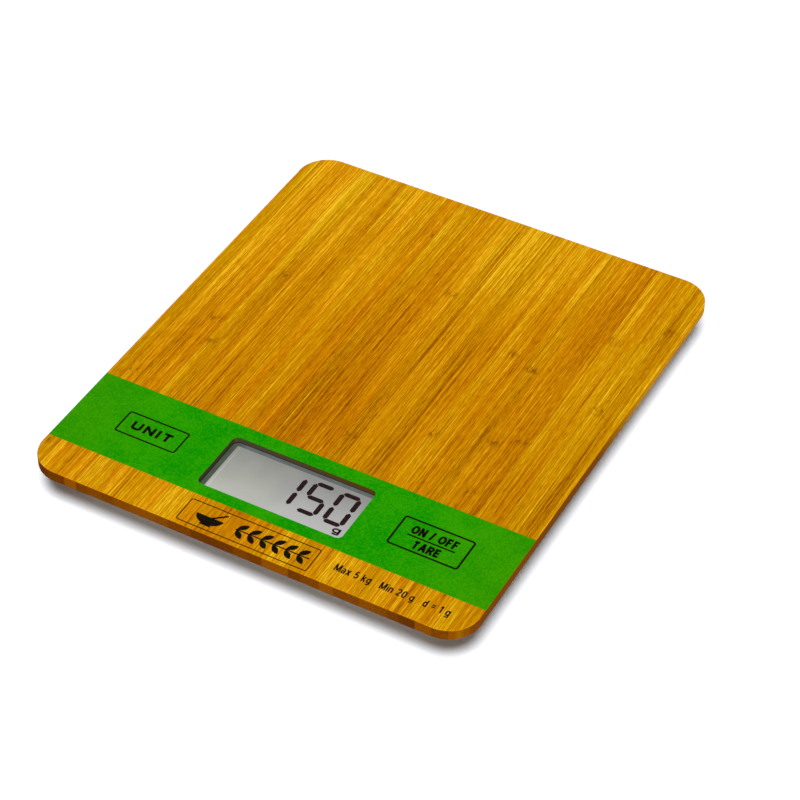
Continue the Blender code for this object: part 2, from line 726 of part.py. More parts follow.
def build_housing():
    """A shallow tray with screw bosses, four foot openings and the battery bay."""
    size = (
        BOARD_WIDTH - 2 * HOUSING_INSET,
        BOARD_DEPTH - 2 * HOUSING_INSET,
        HOUSING_TOP - HOUSING_BOTTOM,
    )
    mesh = plate_mesh("bottom_housing", size, HOUSING_CORNER, edge=HOUSING_EDGE, edge_sides=(-1,))
    middle = (HOUSING_BOTTOM + HOUSING_TOP) / 2
    housing = add_part("bottom_housing", mesh, "white_plastic", (0.0, 0.0, middle))

    inner = (size[0] - 2 * SHELL, size[1] - 2 * SHELL, 0.03)
    hollow_mesh = plate_mesh("housing_hollow", inner, HOUSING_CORNER - SHELL)
    hollow = add_tool("housing_hollow", hollow_mesh, (0.0, 0.0, FLOOR_TOP + 0.015))

    root = HOUSING_BOTTOM + SHELL / 2  # bosses and bay start inside the floor
    bay_size = (
        2 * (BAY_HALF_LENGTH + BAY_WALL),
        BAY_BACK - BAY_FRONT + 2 * BAY_WALL,
        HOUSING_TOP - root,
    )
    bay_middle = (BAY_FRONT + BAY_BACK) / 2
    bay = add_tool("bay_block", box_mesh("bay_block", bay_size))
    bay.location = (0.0, bay_middle, (root + HOUSING_TOP) / 2)
    bosses = cylinder_mesh("bosses", HOUSING_SCREWS, BOSS_RADIUS, root, HOUSING_TOP, 16)

    cavity_size = (2 * BAY_HALF_LENGTH, BAY_BACK - BAY_FRONT, BAY_CEILING - FLOOR_TOP)
    cavity = add_tool("bay_cavity", box_mesh("bay_cavity", cavity_size))
    cavity.location = (0.0, bay_middle, (BAY_CEILING + FLOOR_TOP) / 2)
    opening_mesh = box_mesh("bay_opening", (2 * DOOR_HALF_LENGTH, 2 * DOOR_HALF_WIDTH, 0.006))
    opening = add_tool("bay_opening", opening_mesh, (0.0, 0.0, HOUSING_BOTTOM))

    bores = cylinder_mesh("counterbores", HOUSING_SCREWS, COUNTERBORE, 0.0, EAR_BOTTOM, 16)
    hole_low = EAR_BOTTOM - 0.001
    holes = cylinder_mesh("boss_holes", HOUSING_SCREWS, SCREW_HOLE, hole_low, BOARD_TOP, 12)
    feet = [corner_place(signs)[:2] for signs in CORNERS.values()]
    foot_hole_radius = CUP_RADIUS + CUP_CLEARANCE
    foot_holes = cylinder_mesh("foot_holes", feet, foot_hole_radius, 0.0, 0.01, FOOT_STEPS)
    dent_place = [(0.0, -DOOR_HALF_WIDTH)]
    dent_top = HOUSING_BOTTOM + SHELL / 2
    dent = cylinder_mesh("thumb_dent", dent_place, THUMB_DENT_RADIUS, 0.0, dent_top, 24)

    cut(housing, hollow)
    join(housing, bay, add_tool("bosses", bosses))
    cut(
        housing,
        cavity,
        opening,
        add_tool("counterbores", bores),
        add_tool("boss_holes", holes),
        add_tool("foot_holes", foot_holes),
        add_tool("thumb_dent", dent),
        battery_lead_holes(),
    )


def battery_lead_holes():
    """Two round holes in the bay's left end wall, one behind each contact plate."""
    bm = bmesh.new()
    for side in (-1, 1):
        made = bmesh.ops.create_cone(
            bm,
            cap_ends=True,
            segments=12,
            radius1=LEAD_HOLE_RADIUS,
            radius2=LEAD_HOLE_RADIUS,
            depth=0.006,
        )
        along_x = Matrix.Rotation(math.pi / 2, 3, "Y")
        place = (-BAY_HALF_LENGTH - BAY_WALL / 2, side * BATTERY_PITCH / 2, BATTERY_AXIS)
        bmesh.ops.rotate(bm, cent=(0.0, 0.0, 0.0), matrix=along_x, verts=made["verts"])
        bmesh.ops.translate(bm, vec=place, verts=made["verts"])
    return add_tool("battery_lead_holes", mesh_from(bm, "battery_lead_holes"))


def build_battery_door():
    """The door's origin is on its tilt axis, the lower back edge of the bay's opening."""
    pivot = Vector((0.0, DOOR_HALF_WIDTH, HOUSING_BOTTOM))
    size = (2 * (DOOR_HALF_LENGTH - GAP), 2 * (DOOR_HALF_WIDTH - GAP), SHELL)
    middle = Vector((0.0, 0.0, HOUSING_BOTTOM + SHELL / 2)) - pivot
    mesh = box_mesh("battery_door", size, [middle])
    door = add_part("battery_door", mesh, "white_plastic", pivot)

    tongue_top = SHELL + GAP + TONGUE_THICKNESS
    riser_size = (TONGUE_WIDTH, -TONGUE_INNER - GAP, tongue_top - SHELL / 2)
    riser_y = (TONGUE_INNER - GAP) / 2
    riser_z = tongue_top - riser_size[2] / 2
    tongue_size = (TONGUE_WIDTH, TONGUE_OUTER - TONGUE_INNER, TONGUE_THICKNESS)
    tongue_y = (TONGUE_OUTER + TONGUE_INNER) / 2
    tongue_z = tongue_top - TONGUE_THICKNESS / 2
    sides = (-TONGUE_X, TONGUE_X)
    risers = box_mesh("door_risers", riser_size, [(x, riser_y, riser_z) for x in sides])
    tongues = box_mesh("door_tongues", tongue_size, [(x, tongue_y, tongue_z) for x in sides])
    join(door, add_tool("door_risers", risers, pivot), add_tool("door_tongues", tongues, pivot))


def build_batteries():
    """Each cell is turned about Z, then laid along X with its + end to the left or the right."""
    nub_height = 0.0009
    edge = 0.0006
    profile = [
        (0.0, 0.0),
        (0.0017, 0.0),
        (0.0019, -nub_height),
        (BATTERY_RADIUS - edge, -nub_height),
        (BATTERY_RADIUS, -nub_height - edge),
        (BATTERY_RADIUS, -BATTERY_LENGTH + edge),
        (BATTERY_RADIUS - edge, -BATTERY_LENGTH),
        (0.0, -BATTERY_LENGTH),
    ]
    for name, side in (("battery_cell_back", -1), ("battery_cell_front", 1)):
        place = (side * NUB_TIP, -side * BATTERY_PITCH / 2, BATTERY_AXIS)
        cell = add_part(name, profile_mesh(name, profile), "battery_wrap", place)
        cell.rotation_euler = (0.0, side * math.pi / 2, 0.0)
        turn_profile(cell, 20)
        smooth_shade(cell)


def build_contacts():
    """The spring and flat contacts of two cells in series, bridged at the right-hand end."""
    plate_x = CONTACT_FACE + CONTACT_THICKNESS / 2
    for name, x, y, width in (
        ("contact_plate_plus", -plate_x, BATTERY_PITCH / 2, CONTACT_WIDTH),
        ("contact_plate_minus", -plate_x, -BATTERY_PITCH / 2, CONTACT_WIDTH),
        ("contact_plate_bridge", plate_x, 0.0, BRIDGE_WIDTH),
    ):
        mesh = box_mesh(name, (CONTACT_THICKNESS, width, CONTACT_HEIGHT))
        add_part(name, mesh, "spring_steel", (x, y, BATTERY_AXIS))
    cell_end = BATTERY_LENGTH - NUB_TIP
    for name, side in (("contact_spring_minus", -1), ("contact_spring_bridge", 1)):
        add_spring(name, side, cell_end + GAP, CONTACT_FACE - GAP)


def add_spring(name, side, near, far):
    """A conical coil along X, wide at the contact plate and narrow at the cell."""
    wire = 0.0003
    turns = 3
    steps = 10
    wide = 0.0036
    narrow = 0.0022
    count = turns * steps
    points = []
    for i in range(count + 1):
        share = i / count
        radius = wide + (narrow - wide) * share
        angle = math.tau * i / steps
        x = far - wire + (near - far + 2 * wire) * share
        points.append((side * x, radius * math.cos(angle), radius * math.sin(angle)))
    place = (0.0, side * BATTERY_PITCH / 2, BATTERY_AXIS)
    add_part(name, wire_curve(name, points, wire), "spring_steel", place)


def build_battery_leads():
    """Each lead leaves the bay through its end wall and runs forward to the circuit board."""
    start = -BAY_HALF_LENGTH
    for name, side, material in (("plus", 1, "lead_red"), ("minus", -1, "lead_black")):
        y = side * BATTERY_PITCH / 2
        out = -0.0320 + side * -0.0010
        end = -0.0170 if side < 0 else -0.0215
        route = [
            (start, y, BATTERY_AXIS),
            (start - 0.0035, y, BATTERY_AXIS),
            (out, y - 0.0040, BATTERY_AXIS - 0.0008),
            (out, -0.0260, 0.0090),
            (end, -0.0500, 0.0085),
            (end, -0.0580, 0.0085),
            (end, -0.0630, 0.0095),
            (end, -0.0640, PCB_BOTTOM - GAP),
        ]
        lead = f"battery_lead_{name}"
        points = smooth_route(route, 0.004)
        add_part(lead, wire_curve(lead, points, BATTERY_LEAD_RADIUS), material)


clear_scene()
PARTS = new_collection("kitchen_scale")
TOOLS = new_collection("cutters")
build_platform_board()
build_panel_film()
build_touch_keys()
build_display()
build_circuit_board()
build_screws()
build_feet()
build_load_cells()
build_load_cell_leads()
build_housing()
build_battery_door()
build_batteries()
build_contacts()
build_battery_leads()
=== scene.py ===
"""Looks of a slim bamboo kitchen scale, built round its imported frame.

The board, the printed key panel, the display face, the battery door and the foot pads are finer
pieces that stand for the frame's plain ones. The print and the display's figures lie on them as
thin solid pieces. Every other piece is the frame's own, with a procedural material.

Axes: +X to the right, +Y to the back, +Z up, in metres. The scale stands on the table at height 0,
with its display and keys along the front edge, at low Y.
"""

import math

import bmesh
import bpy
from mathutils import Matrix, Vector


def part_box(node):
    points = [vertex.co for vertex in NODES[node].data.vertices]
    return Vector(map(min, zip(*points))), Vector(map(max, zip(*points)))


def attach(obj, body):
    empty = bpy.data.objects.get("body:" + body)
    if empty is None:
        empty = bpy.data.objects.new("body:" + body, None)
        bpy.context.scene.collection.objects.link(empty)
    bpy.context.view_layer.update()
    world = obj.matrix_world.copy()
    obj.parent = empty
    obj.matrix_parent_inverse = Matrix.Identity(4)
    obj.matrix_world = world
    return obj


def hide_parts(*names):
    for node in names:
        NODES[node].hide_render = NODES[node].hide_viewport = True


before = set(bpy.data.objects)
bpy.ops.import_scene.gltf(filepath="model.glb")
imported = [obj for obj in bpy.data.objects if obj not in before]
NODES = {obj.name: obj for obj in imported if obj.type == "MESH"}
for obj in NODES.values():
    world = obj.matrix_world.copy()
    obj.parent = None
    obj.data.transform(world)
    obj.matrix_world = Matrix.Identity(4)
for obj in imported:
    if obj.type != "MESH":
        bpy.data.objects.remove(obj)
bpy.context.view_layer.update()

# Board and panel. Each FRONT and BACK of the panel and the window is a distance behind the
# board's front edge.
BOARD_LOW, BOARD_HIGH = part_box("platform_board")
FRONT = BOARD_LOW.y
PRINT_THICKNESS = 0.00002
SURFACE = BOARD_HIGH.z - PRINT_THICKNESS
PRINT_LOW = SURFACE - PRINT_THICKNESS / 2
PRINT_HIGH = BOARD_HIGH.z
BOARD_CORNER = 0.0140
BOARD_TOP_EDGE = 0.0005
BOARD_BOTTOM_EDGE = 0.0002
FILM_THICKNESS = 0.00015
FILM_GAP = 0.00002
PANEL_FRONT = 0.0174
PANEL_BACK = 0.0589
WINDOW_FRONT = 0.0229
WINDOW_BACK = 0.0524
WINDOW_HALF_WIDTH = 0.0322
WINDOW_CORNER = 0.0025
CLEARANCE = 0.0002
PAST_SURFACE = 0.002

# Bamboo pattern: the strips seen from above, the cane's joints, and the blocks seen at the edges
STRIP_WIDTH = 0.0056
KNOT_SPACING = 0.370
BLOCK_WIDTH = 0.0060
WOOD_TONES = (
    (0.10, (0.190, 0.048, 0.0002)),
    (0.34, (0.390, 0.137, 0.0003)),
    (0.52, (0.490, 0.202, 0.0004)),
    (0.70, (0.575, 0.268, 0.0008)),
    (0.95, (0.800, 0.470, 0.0150)),
)
# End grain: darker than the top partly of its own, and partly as painted shade on the upright edges
END_GRAIN_TONES = ((0.1, (0.115, 0.026, 0.0002)), (0.9, (0.248, 0.070, 0.0003)))
REDDER = (1.06, 0.92, 1.0)
YELLOWER = (0.98, 1.06, 1.0)
KNOT_COLOUR = (0.180, 0.050, 0.0006)
SEAM_COLOUR = (0.270, 0.075, 0.0004)
# Painted shade on the walls of the board's openings, from their left to their right end
PAINTED_WALL_SHADE_LEFT = (0.085, 0.078, 0.048)
PAINTED_WALL_SHADE_RIGHT = (0.125, 0.068, 0.014)
# Painted shade: how dark the board's downward faces are made
PAINTED_UNDERSIDE_SHADE = 0.26

# Display figures
DIGIT_RIGHT_EDGES = (0.0045, 0.0166, 0.0284)
DIGIT_WIDTH = 0.0096
DIGIT_BASE = 0.0303
DIGIT_HEIGHT = 0.0182
STROKE = 0.0021
BAR_LENGTH = 0.0071
FIGURE_THICKNESS = 0.00003
TIP_LENGTH = 0.42 * STROKE
TIP_BLUNTNESS = 0.22
GRAM_SPAN = (0.0256, 0.0291)
GRAM_BASE = 0.0271
GRAM_HEIGHT = 0.0037
GRAM_PEN = 0.00082
# A pale line of painted highlight along the display glass's edge
HIGHLIGHT_LINE_INSET = 0.0013
HIGHLIGHT_LINE_WIDTH = 0.0004
SHOWN_DIGITS = ("1", "5", "0")
SEGMENTS_OF = {
    "0": "abcdef",
    "1": "bc",
    "5": "acdfg",
}

# Print. A box has its low and high corners, each as x and distance from the front edge. A line of
# lettering has its span of x, its baseline's distance from the front edge, its height and its pen.
UNIT_KEY_BOX = ((-0.0763, 0.0318), (-0.0480, 0.0446))
UNIT_KEY_CORNER = 0.0013
UNIT_KEY_LINE = 0.00075
UNIT_NAME_SPAN = (-0.0714, -0.0528)
UNIT_NAME_BASE = 0.03575
UNIT_NAME_HEIGHT = 0.0047
UNIT_NAME_PEN = 0.00125
TARE_KEY_BOX = ((0.0477, 0.0302), (0.0785, 0.0468))
TARE_KEY_CORNER = 0.0014
TARE_KEY_LINE = 0.00085
TARE_KEY_PEN = 0.00105
POWER_NAME_SPAN = (0.0533, 0.0735)
POWER_NAME_BASE = 0.03915
POWER_NAME_HEIGHT = 0.0045
DIVIDER_ENDS = ((0.0530, 0.0380), (0.0735, 0.0380))
DIVIDER_LINE = 0.00075
TARE_NAME_SPAN = (0.0572, 0.0693)
TARE_NAME_BASE = 0.0321
TARE_NAME_HEIGHT = 0.0044
CAPACITY_SPAN = (0.0377, 0.0867)
CAPACITY_BASE = 0.0079
CAPACITY_HEIGHT = 0.0037
CAPACITY_PEN = 0.00060
SMALL_LETTER_HEIGHT = 0.73
MARK_BOX = ((-0.0285, 0.0020), (0.0293, 0.0146))
MARK_CORNER = 0.0010
MARK_LINE = 0.00045
BOWL_MARK_CENTRE = (-0.0168, 0.0083)
BOWL_HALF_WIDTH = 0.0060
BOWL_DEPTH = 0.0042
LEAF_BORDER_START = (-0.0052, 0.0083)
LEAF_PITCH = 0.0054
LEAF_PAIRS = 6
LEAF_LENGTH = 0.0052
LEAF_WIDTH = 0.0025
LEAF_ANGLE = math.radians(42)
FIRST_LEAF = 0.0004
CANE_WIDTH = 0.0006

# Foot pads, and the grooves that leave grip ribs on the battery door
PAD_RIM = 0.0004
PAD_RIM_STEPS = 3
PAD_GROOVE_DEPTH = 0.0003
PAD_GROOVE_PLACES = (0.68, 0.36)  # as shares of the pad's radius
PAD_GROOVE_MOUTH = 0.0012
PAD_GROOVE_FLOOR = 0.0008
PAD_STEPS = 64
PAD_SHARP_ANGLE = math.radians(50)
GROOVE_COUNT = 5
GROOVE_PITCH = 0.0014
GROOVE_WIDTH = 0.0007
GROOVE_DEPTH = 0.00035
FIRST_GROOVE = -0.0080
FIRST_GROOVE_HALF_LENGTH = 0.0075
GROOVE_TAPER = 0.0008  # how much shorter each groove's half is than the one before
GROOVE_CORNER = 0.0003

# Shading
WELD_DISTANCE = 0.000001
SHARP_ANGLE = math.radians(35)

# Camera and light
CAMERA_PLACE = Vector((0.3799, -0.6900, 0.7292))
CAMERA_TARGET = Vector((0.01436, -0.01136, 0.0220))
CAMERA_ROLL = math.radians(0.6855)
CAMERA_LENS = 117.2
WORLD_STRENGTH = 0.13
KEY_LIGHT_PLACE = (0.24, -0.46, 1.0)
KEY_LIGHT_STRENGTH = 3.72
KEY_LIGHT_ANGLE = math.radians(19)
UNDER_LIGHT_PLACE = (0.0, 0.0, -0.8)
UNDER_LIGHT_WATTS = 3.0


# Materials


class Shader:
    """A Principled material, with short ways to wire up its procedural detail."""

    def __init__(self, name, roughness, specular=0.5, metallic=0.0):
        self.material = bpy.data.materials.new(name)
        self.material.use_nodes = True
        self.tree = self.material.node_tree
        self.surface = self.tree.nodes["Principled BSDF"]
        self.surface.inputs["Roughness"].default_value = roughness
        self.surface.inputs["Specular IOR Level"].default_value = specular
        self.surface.inputs["Metallic"].default_value = metallic
        coordinates = self.node("ShaderNodeTexCoord")
        self.place = coordinates.outputs["Object"]
        self.facing = coordinates.outputs["Normal"]

    def node(self, kind, inputs=None, **settings):
        """Adds a node, with its own settings and a value or a link for each named input."""
        made = self.tree.nodes.new(kind)
        for key, value in settings.items():
            setattr(made, key, value)
        for key, value in (inputs or {}).items():
            self.feed(value, made.inputs[key])
        return made

    def feed(self, value, socket):
        """Links a socket to another, or sets it to a plain value."""
        if isinstance(value, bpy.types.NodeSocket):
            self.tree.links.new(value, socket)
        else:
            socket.default_value = value

    def set(self, name, value):
        """Feeds one input of the surface."""
        self.feed(value, self.surface.inputs[name])

    def math(self, operation, *values):
        """One arithmetic step on values that may vary over the surface."""
        made = self.node("ShaderNodeMath", dict(enumerate(values)), operation=operation)
        return made.outputs[0]

    def split(self, vector):
        """The X, Y and Z of a vector."""
        return self.node("ShaderNodeSeparateXYZ", {0: vector}).outputs

    def shifted(self, vector, amount):
        """The vector with its Z raised by an amount that varies over the surface."""
        offset = self.node("ShaderNodeCombineXYZ", {"Z": amount}).outputs[0]
        return self.node("ShaderNodeVectorMath", {0: vector, 1: offset}).outputs[0]

    def noise(self, size, detail=2.0, roughness=0.5, place=None):
        """Noise from 0 to 1 whose features measure about size, three lengths in metres."""
        scaled = self.node(
            "ShaderNodeVectorMath",
            {0: place or self.place, 1: [1.0 / length for length in size]},
            operation="MULTIPLY",
        )
        inputs = {
            "Vector": scaled.outputs[0],
            "Scale": 1.0,
            "Detail": detail,
            "Roughness": roughness,
        }
        return self.node("ShaderNodeTexNoise", inputs).outputs[0]

    def cells(self, along, width, feature="F1"):
        """Bands of irregular width along one coordinate."""
        scaled = self.math("DIVIDE", along, width)
        inputs = {"W": scaled, "Scale": 1.0, "Randomness": 0.7}
        return self.node(
            "ShaderNodeTexVoronoi", inputs, voronoi_dimensions="1D", feature=feature
        )

    def balance(self, *parts):
        """One value near 0.5 from several, each given with its weight about its own middle."""
        total = 0.5
        for value, weight in parts:
            swing = self.math("MULTIPLY", self.math("SUBTRACT", value, 0.5), weight)
            total = self.math("ADD", total, swing)
        return total

    def remap(self, value, low, high, to_low=0.0, to_high=1.0):
        """The value carried from one range to another, and held at both ends."""
        inputs = {
            "Value": value,
            "From Min": low,
            "From Max": high,
            "To Min": to_low,
            "To Max": to_high,
        }
        return self.node("ShaderNodeMapRange", inputs).outputs[0]

    def mix(self, factor, first, second, blend="MIX"):
        """Two colours blended, from the first at 0 to the second at 1."""
        inputs = {0: factor, 6: as_colour(first), 7: as_colour(second)}
        made = self.node("ShaderNodeMix", inputs, data_type="RGBA", blend_type=blend)
        return made.outputs[2]

    def ramp(self, value, stops):
        """A colour scale; each stop is a position from 0 to 1 and a colour."""
        made = self.node("ShaderNodeValToRGB", {0: value})
        elements = made.color_ramp.elements
        while len(elements) < len(stops):
            elements.new(0.5)
        for element, (position, colour) in zip(elements, stops):
            element.position = position
            element.color = as_colour(colour)
        return made.outputs[0]

    def brighten(self, colour, amount):
        """The colour times an amount that varies over the surface."""
        grey = self.node("ShaderNodeCombineXYZ", {0: amount, 1: amount, 2: amount})
        return self.mix(1.0, colour, grey.outputs[0], "MULTIPLY")

    def bump(self, height, distance, strength=1.0):
        """Fine relief, whose full height is the distance in metres."""
        inputs = {"Height": height, "Distance": distance, "Strength": strength}
        self.set("Normal", self.node("ShaderNodeBump", inputs).outputs[0])


def as_colour(value):
    """RGB gains its alpha, and a socket passes through."""
    return value if isinstance(value, bpy.types.NodeSocket) else (*value, 1.0)


def bamboo():
    """Lacquered strips along Y with fine fibres and scattered knots, and brown sawn edges darkened
    partly by painted shade.

    Each long side edge has painted light: the end grain's dark brown in front, and the strips' own
    colour brightened at the back."""
    wood = Shader("bamboo", roughness=0.5, specular=0.02)
    wood.set("Specular Tint", as_colour((1.0, 0.55, 0.08)))
    x, y, _ = wood.split(wood.place)
    top, broad, fibre = strips(wood, x, y)
    end = end_grain(wood, x)
    # Painted light on the long side edges: dark in front, the strips' colour brightened at the back
    side = wood.mix(wood.remap(y, 0.000, 0.045), end, wood.brighten(top, 1.15))
    inside = inside_board(wood, x, y)
    # Painted shade on the walls of the board's openings, darkest and greenest at the left
    wall_shade = wood.mix(wood.remap(x, -0.030, 0.030), PAINTED_WALL_SHADE_LEFT, PAINTED_WALL_SHADE_RIGHT)
    end = wood.mix(inside, end, wall_shade)
    side = wood.mix(inside, side, wall_shade)

    across, along, up = wood.split(wood.facing)
    is_end = wood.remap(wood.math("ABSOLUTE", along), 0.60, 0.80)
    is_side = wood.remap(wood.math("ABSOLUTE", across), 0.60, 0.80)
    colour = wood.mix(is_side, wood.mix(is_end, top, end), side)
    # Painted shade: the board's downward faces are darkened
    light = wood.remap(up, -0.8, -0.5, PAINTED_UNDERSIDE_SHADE, 1.0)
    wood.set("Base Color", wood.brighten(colour, light))
    sawn = wood.math("MAXIMUM", is_end, is_side)
    gloss = wood.remap(broad, 0.3, 0.7, 0.44, 0.58)
    wood.set("Roughness", wood.math("ADD", gloss, wood.math("MULTIPLY", sawn, 0.35)))
    wood.bump(fibre, 0.00002, 0.5)
    return wood.material


def strips(wood, x, y):
    """The strips' colour, and the broad grain and the fibres that it is drawn with.

    It is slightly paler to the back, to the left and along the front edge, as painted light."""
    strip = wood.node("ShaderNodeSeparateColor", {0: wood.cells(x, STRIP_WIDTH).outputs["Color"]})
    own_tone, own_phase, own_grain = strip.outputs
    grain = wood.shifted(wood.place, own_grain)
    cloud = wood.noise((0.045, 0.110, 0.045), detail=1.0)
    broad = wood.noise((0.0026, 0.300, 0.0026), detail=2.0, place=grain)
    streak = wood.noise((0.0010, 0.130, 0.0010), detail=3.0, place=grain)
    fibre = wood.noise((0.00038, 0.060, 0.00038), detail=3.0, roughness=0.65, place=grain)
    pore = wood.noise((0.00035, 0.0045, 0.00035), detail=2.0, roughness=0.7, place=grain)
    # Painted light: the wood paler to the back, to the left and along the front edge
    to_back = wood.remap(y, -0.040, 0.100, 0.44, 0.59)
    at_front = wood.remap(y, -0.100, -0.090, 0.11, 0.0)
    to_right = wood.remap(x, -0.090, 0.090, 0.09, -0.05)
    painted_light = wood.math("ADD", wood.math("ADD", to_back, at_front), to_right)
    tone = wood.balance(
        (painted_light, 1.0),
        (own_tone, 0.18),
        (cloud, 0.34),
        (broad, 0.34),
        (streak, 0.34),
        (fibre, 1.70),
        (pore, 0.95),
    )
    colour = wood.ramp(tone, WOOD_TONES)
    warmth = wood.balance((own_phase, 0.8), (broad, 1.4), (cloud, 0.8))
    colour = wood.mix(1.0, colour, wood.mix(warmth, REDDER, YELLOWER), "MULTIPLY")
    colour = wood.mix(knots(wood, y, own_phase, grain), colour, KNOT_COLOUR)
    seam = wood.cells(x, STRIP_WIDTH, "DISTANCE_TO_EDGE").outputs["Distance"]
    seam = wood.math("MULTIPLY", wood.remap(seam, 0.0, 0.05, 0.9, 0.0), own_grain)
    return wood.mix(seam, colour, SEAM_COLOUR), broad, fibre


def end_grain(wood, x):
    """The sawn ends of the strips: blocks of slightly different browns, with fine pores, darker
    partly as end grain is and partly as painted shade.
    """
    blocks = wood.node("ShaderNodeSeparateColor", {0: wood.cells(x, BLOCK_WIDTH).outputs["Color"]})
    pores = wood.noise((0.0005, 0.0005, 0.0008), detail=2.0)
    tone = wood.balance((blocks.outputs[0], 0.8), (blocks.outputs[1], 0.5), (pores, 1.8))
    return wood.ramp(tone, END_GRAIN_TONES)


def inside_board(wood, x, y):
    """1 away from the board's rim, where the walls of its openings get painted shade, and 0 at it.
    """
    edge_x = BOARD_HIGH.x - BOARD_CORNER
    edge_y = BOARD_HIGH.y - BOARD_CORNER
    inside_x = wood.math("LESS_THAN", wood.math("ABSOLUTE", x), edge_x)
    inside_y = wood.math("LESS_THAN", wood.math("ABSOLUTE", y), edge_y)
    return wood.math("MULTIPLY", inside_x, inside_y)


def knots(wood, y, own_phase, grain):
    """How far each strip is darkened by a joint of the cane, at its own place along Y."""
    phase = wood.math("MULTIPLY", own_phase, 9.0)
    share = wood.math("FRACT", wood.math("ADD", wood.math("DIVIDE", y, KNOT_SPACING), phase))
    from_knot = wood.math("ABSOLUTE", wood.math("SUBTRACT", share, 0.5))
    wobble = wood.noise((0.0010, 0.0060, 0.0010), place=grain)
    distance = wood.math("MULTIPLY", from_knot, KNOT_SPACING)
    distance = wood.math("ADD", distance, wood.math("MULTIPLY", wobble, 0.004))
    near = wood.remap(distance, 0.0018, 0.0058, 1.0, 0.0)
    speckle = wood.noise((0.0012, 0.0022, 0.0012), detail=2.0, place=grain)
    return wood.math("MULTIPLY", near, wood.remap(speckle, 0.44, 0.62, 0.06, 0.75))


def key_film():
    """Matt printed film: a strong green with a slight mottle, yellower towards both ends."""
    film = Shader("key_film", roughness=0.55, specular=0.03)
    film.set("Specular Tint", as_colour((0.30, 1.0, 0.15)))
    x, _, _ = film.split(film.place)
    ends = film.remap(film.math("ABSOLUTE", x), 0.055, 0.095)
    mottle = film.noise((0.0008, 0.0008, 0.0008), detail=3.0, roughness=0.7)
    cloud = film.noise((0.014, 0.014, 0.014), detail=2.0)
    tone = film.balance((mottle, 4.2), (cloud, 1.6))
    middle = film.mix(tone, (0.0010, 0.236, 0.0002), (0.0280, 0.300, 0.0003))
    outer = film.mix(tone, (0.0160, 0.228, 0.0002), (0.0440, 0.288, 0.0003))
    film.set("Base Color", film.mix(ends, middle, outer))
    film.set("Roughness", film.remap(mottle, 0.3, 0.7, 0.50, 0.62))
    film.bump(mottle, 0.00001, 0.4)
    return film.material


def display_face():
    """The grey ground behind the figures: darker to the back with painted shade, slightly warmer to
    the left with a painted reflection.

    A pale line of painted highlight runs just inside its left and front edges, along the glass
    edge."""
    face = Shader("display_face", roughness=0.4, specular=0.12)
    corner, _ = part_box("display_polariser")
    x, y, _ = face.split(face.place)
    cloud = face.noise((0.012, 0.012, 0.012), detail=2.0)
    grain = face.noise((0.0003, 0.0003, 0.0003), detail=1.0)
    uneven = face.math("MULTIPLY", cloud, 0.010)
    # Painted reflection: the face slightly warmer to the left
    to_right = face.remap(face.math("ADD", x, uneven), -0.004, 0.010)
    colour = face.mix(to_right, (0.385, 0.392, 0.354), (0.392, 0.397, 0.382))
    # Painted shade: the face darker towards the back
    to_back = face.remap(face.math("ADD", y, uneven), FRONT + 0.026, FRONT + 0.054, 1.17, 0.62)
    tone = face.math("MULTIPLY", to_back, face.remap(grain, 0.3, 0.7, 0.96, 1.04))
    # Painted highlight: a pale line just inside the left and front edges
    for place, edge in ((x, corner.x), (y, corner.y)):
        inward = face.math("SUBTRACT", place, edge + HIGHLIGHT_LINE_INSET)
        off_line = face.math("ABSOLUTE", inward)
        edge_highlight = face.remap(off_line, 0.0001, HIGHLIGHT_LINE_WIDTH / 2 + 0.0001, 1.22, 1.0)
        tone = face.math("MULTIPLY", tone, edge_highlight)
    face.set("Base Color", face.brighten(colour, tone))
    face.set("Roughness", face.remap(grain, 0.3, 0.7, 0.34, 0.46))
    return face.material


def display_glass():
    """The dark glass margin round the display's face, darkest at its left end with painted shade.
    """
    glass = Shader("display_glass", roughness=0.2, specular=0.3)
    x, _, _ = glass.split(glass.place)
    smear = glass.noise((0.004, 0.004, 0.004), detail=2.0)
    # Painted shade of the window's left wall: the margin darker at the left
    from_left = glass.remap(x, -0.0305, -0.0270)
    colour = glass.mix(from_left, (0.070, 0.086, 0.062), (0.115, 0.130, 0.128))
    glass.set("Base Color", glass.brighten(colour, glass.remap(smear, 0.3, 0.7, 0.9, 1.1)))
    glass.set("Roughness", glass.remap(smear, 0.3, 0.7, 0.15, 0.28))
    return glass.material


def ink(name, colour):
    """Screen print: near black, with a little unevenness."""
    dye = Shader(name, roughness=0.6, specular=0.02)
    patch = dye.noise((0.0009, 0.0009, 0.0009), detail=3.0)
    dye.set("Base Color", dye.brighten(colour, dye.remap(patch, 0.3, 0.7, 0.75, 1.25)))
    dye.set("Roughness", dye.remap(patch, 0.3, 0.7, 0.55, 0.70))
    return dye.material


def moulded(name, colour, roughness, grain=0.00035, depth=0.000012, specular=0.4):
    """Moulded plastic or rubber with a fine spark-eroded texture."""
    plastic = Shader(name, roughness=roughness, specular=specular)
    texture = plastic.noise((grain, grain, grain), detail=3.0, roughness=0.6)
    cloud = plastic.noise((0.02, 0.02, 0.02), detail=2.0)
    tone = plastic.remap(cloud, 0.3, 0.7, 0.98, 1.02)
    plastic.set("Base Color", plastic.brighten(colour, tone))
    plastic.set("Roughness", plastic.remap(texture, 0.3, 0.7, roughness - 0.06, roughness + 0.08))
    plastic.bump(texture, depth, 0.6)
    return plastic.material


def rubber():
    """Dull black rubber, coarser than the plastics."""
    return moulded(
        "rubber", (0.030, 0.030, 0.031), 0.85, grain=0.0005, depth=0.00003, specular=0.3
    )


def potting():
    """Glossy black potting over the chip, slightly uneven."""
    return moulded(
        "potting", (0.012, 0.012, 0.012), 0.25, grain=0.003, depth=0.00002, specular=0.5
    )


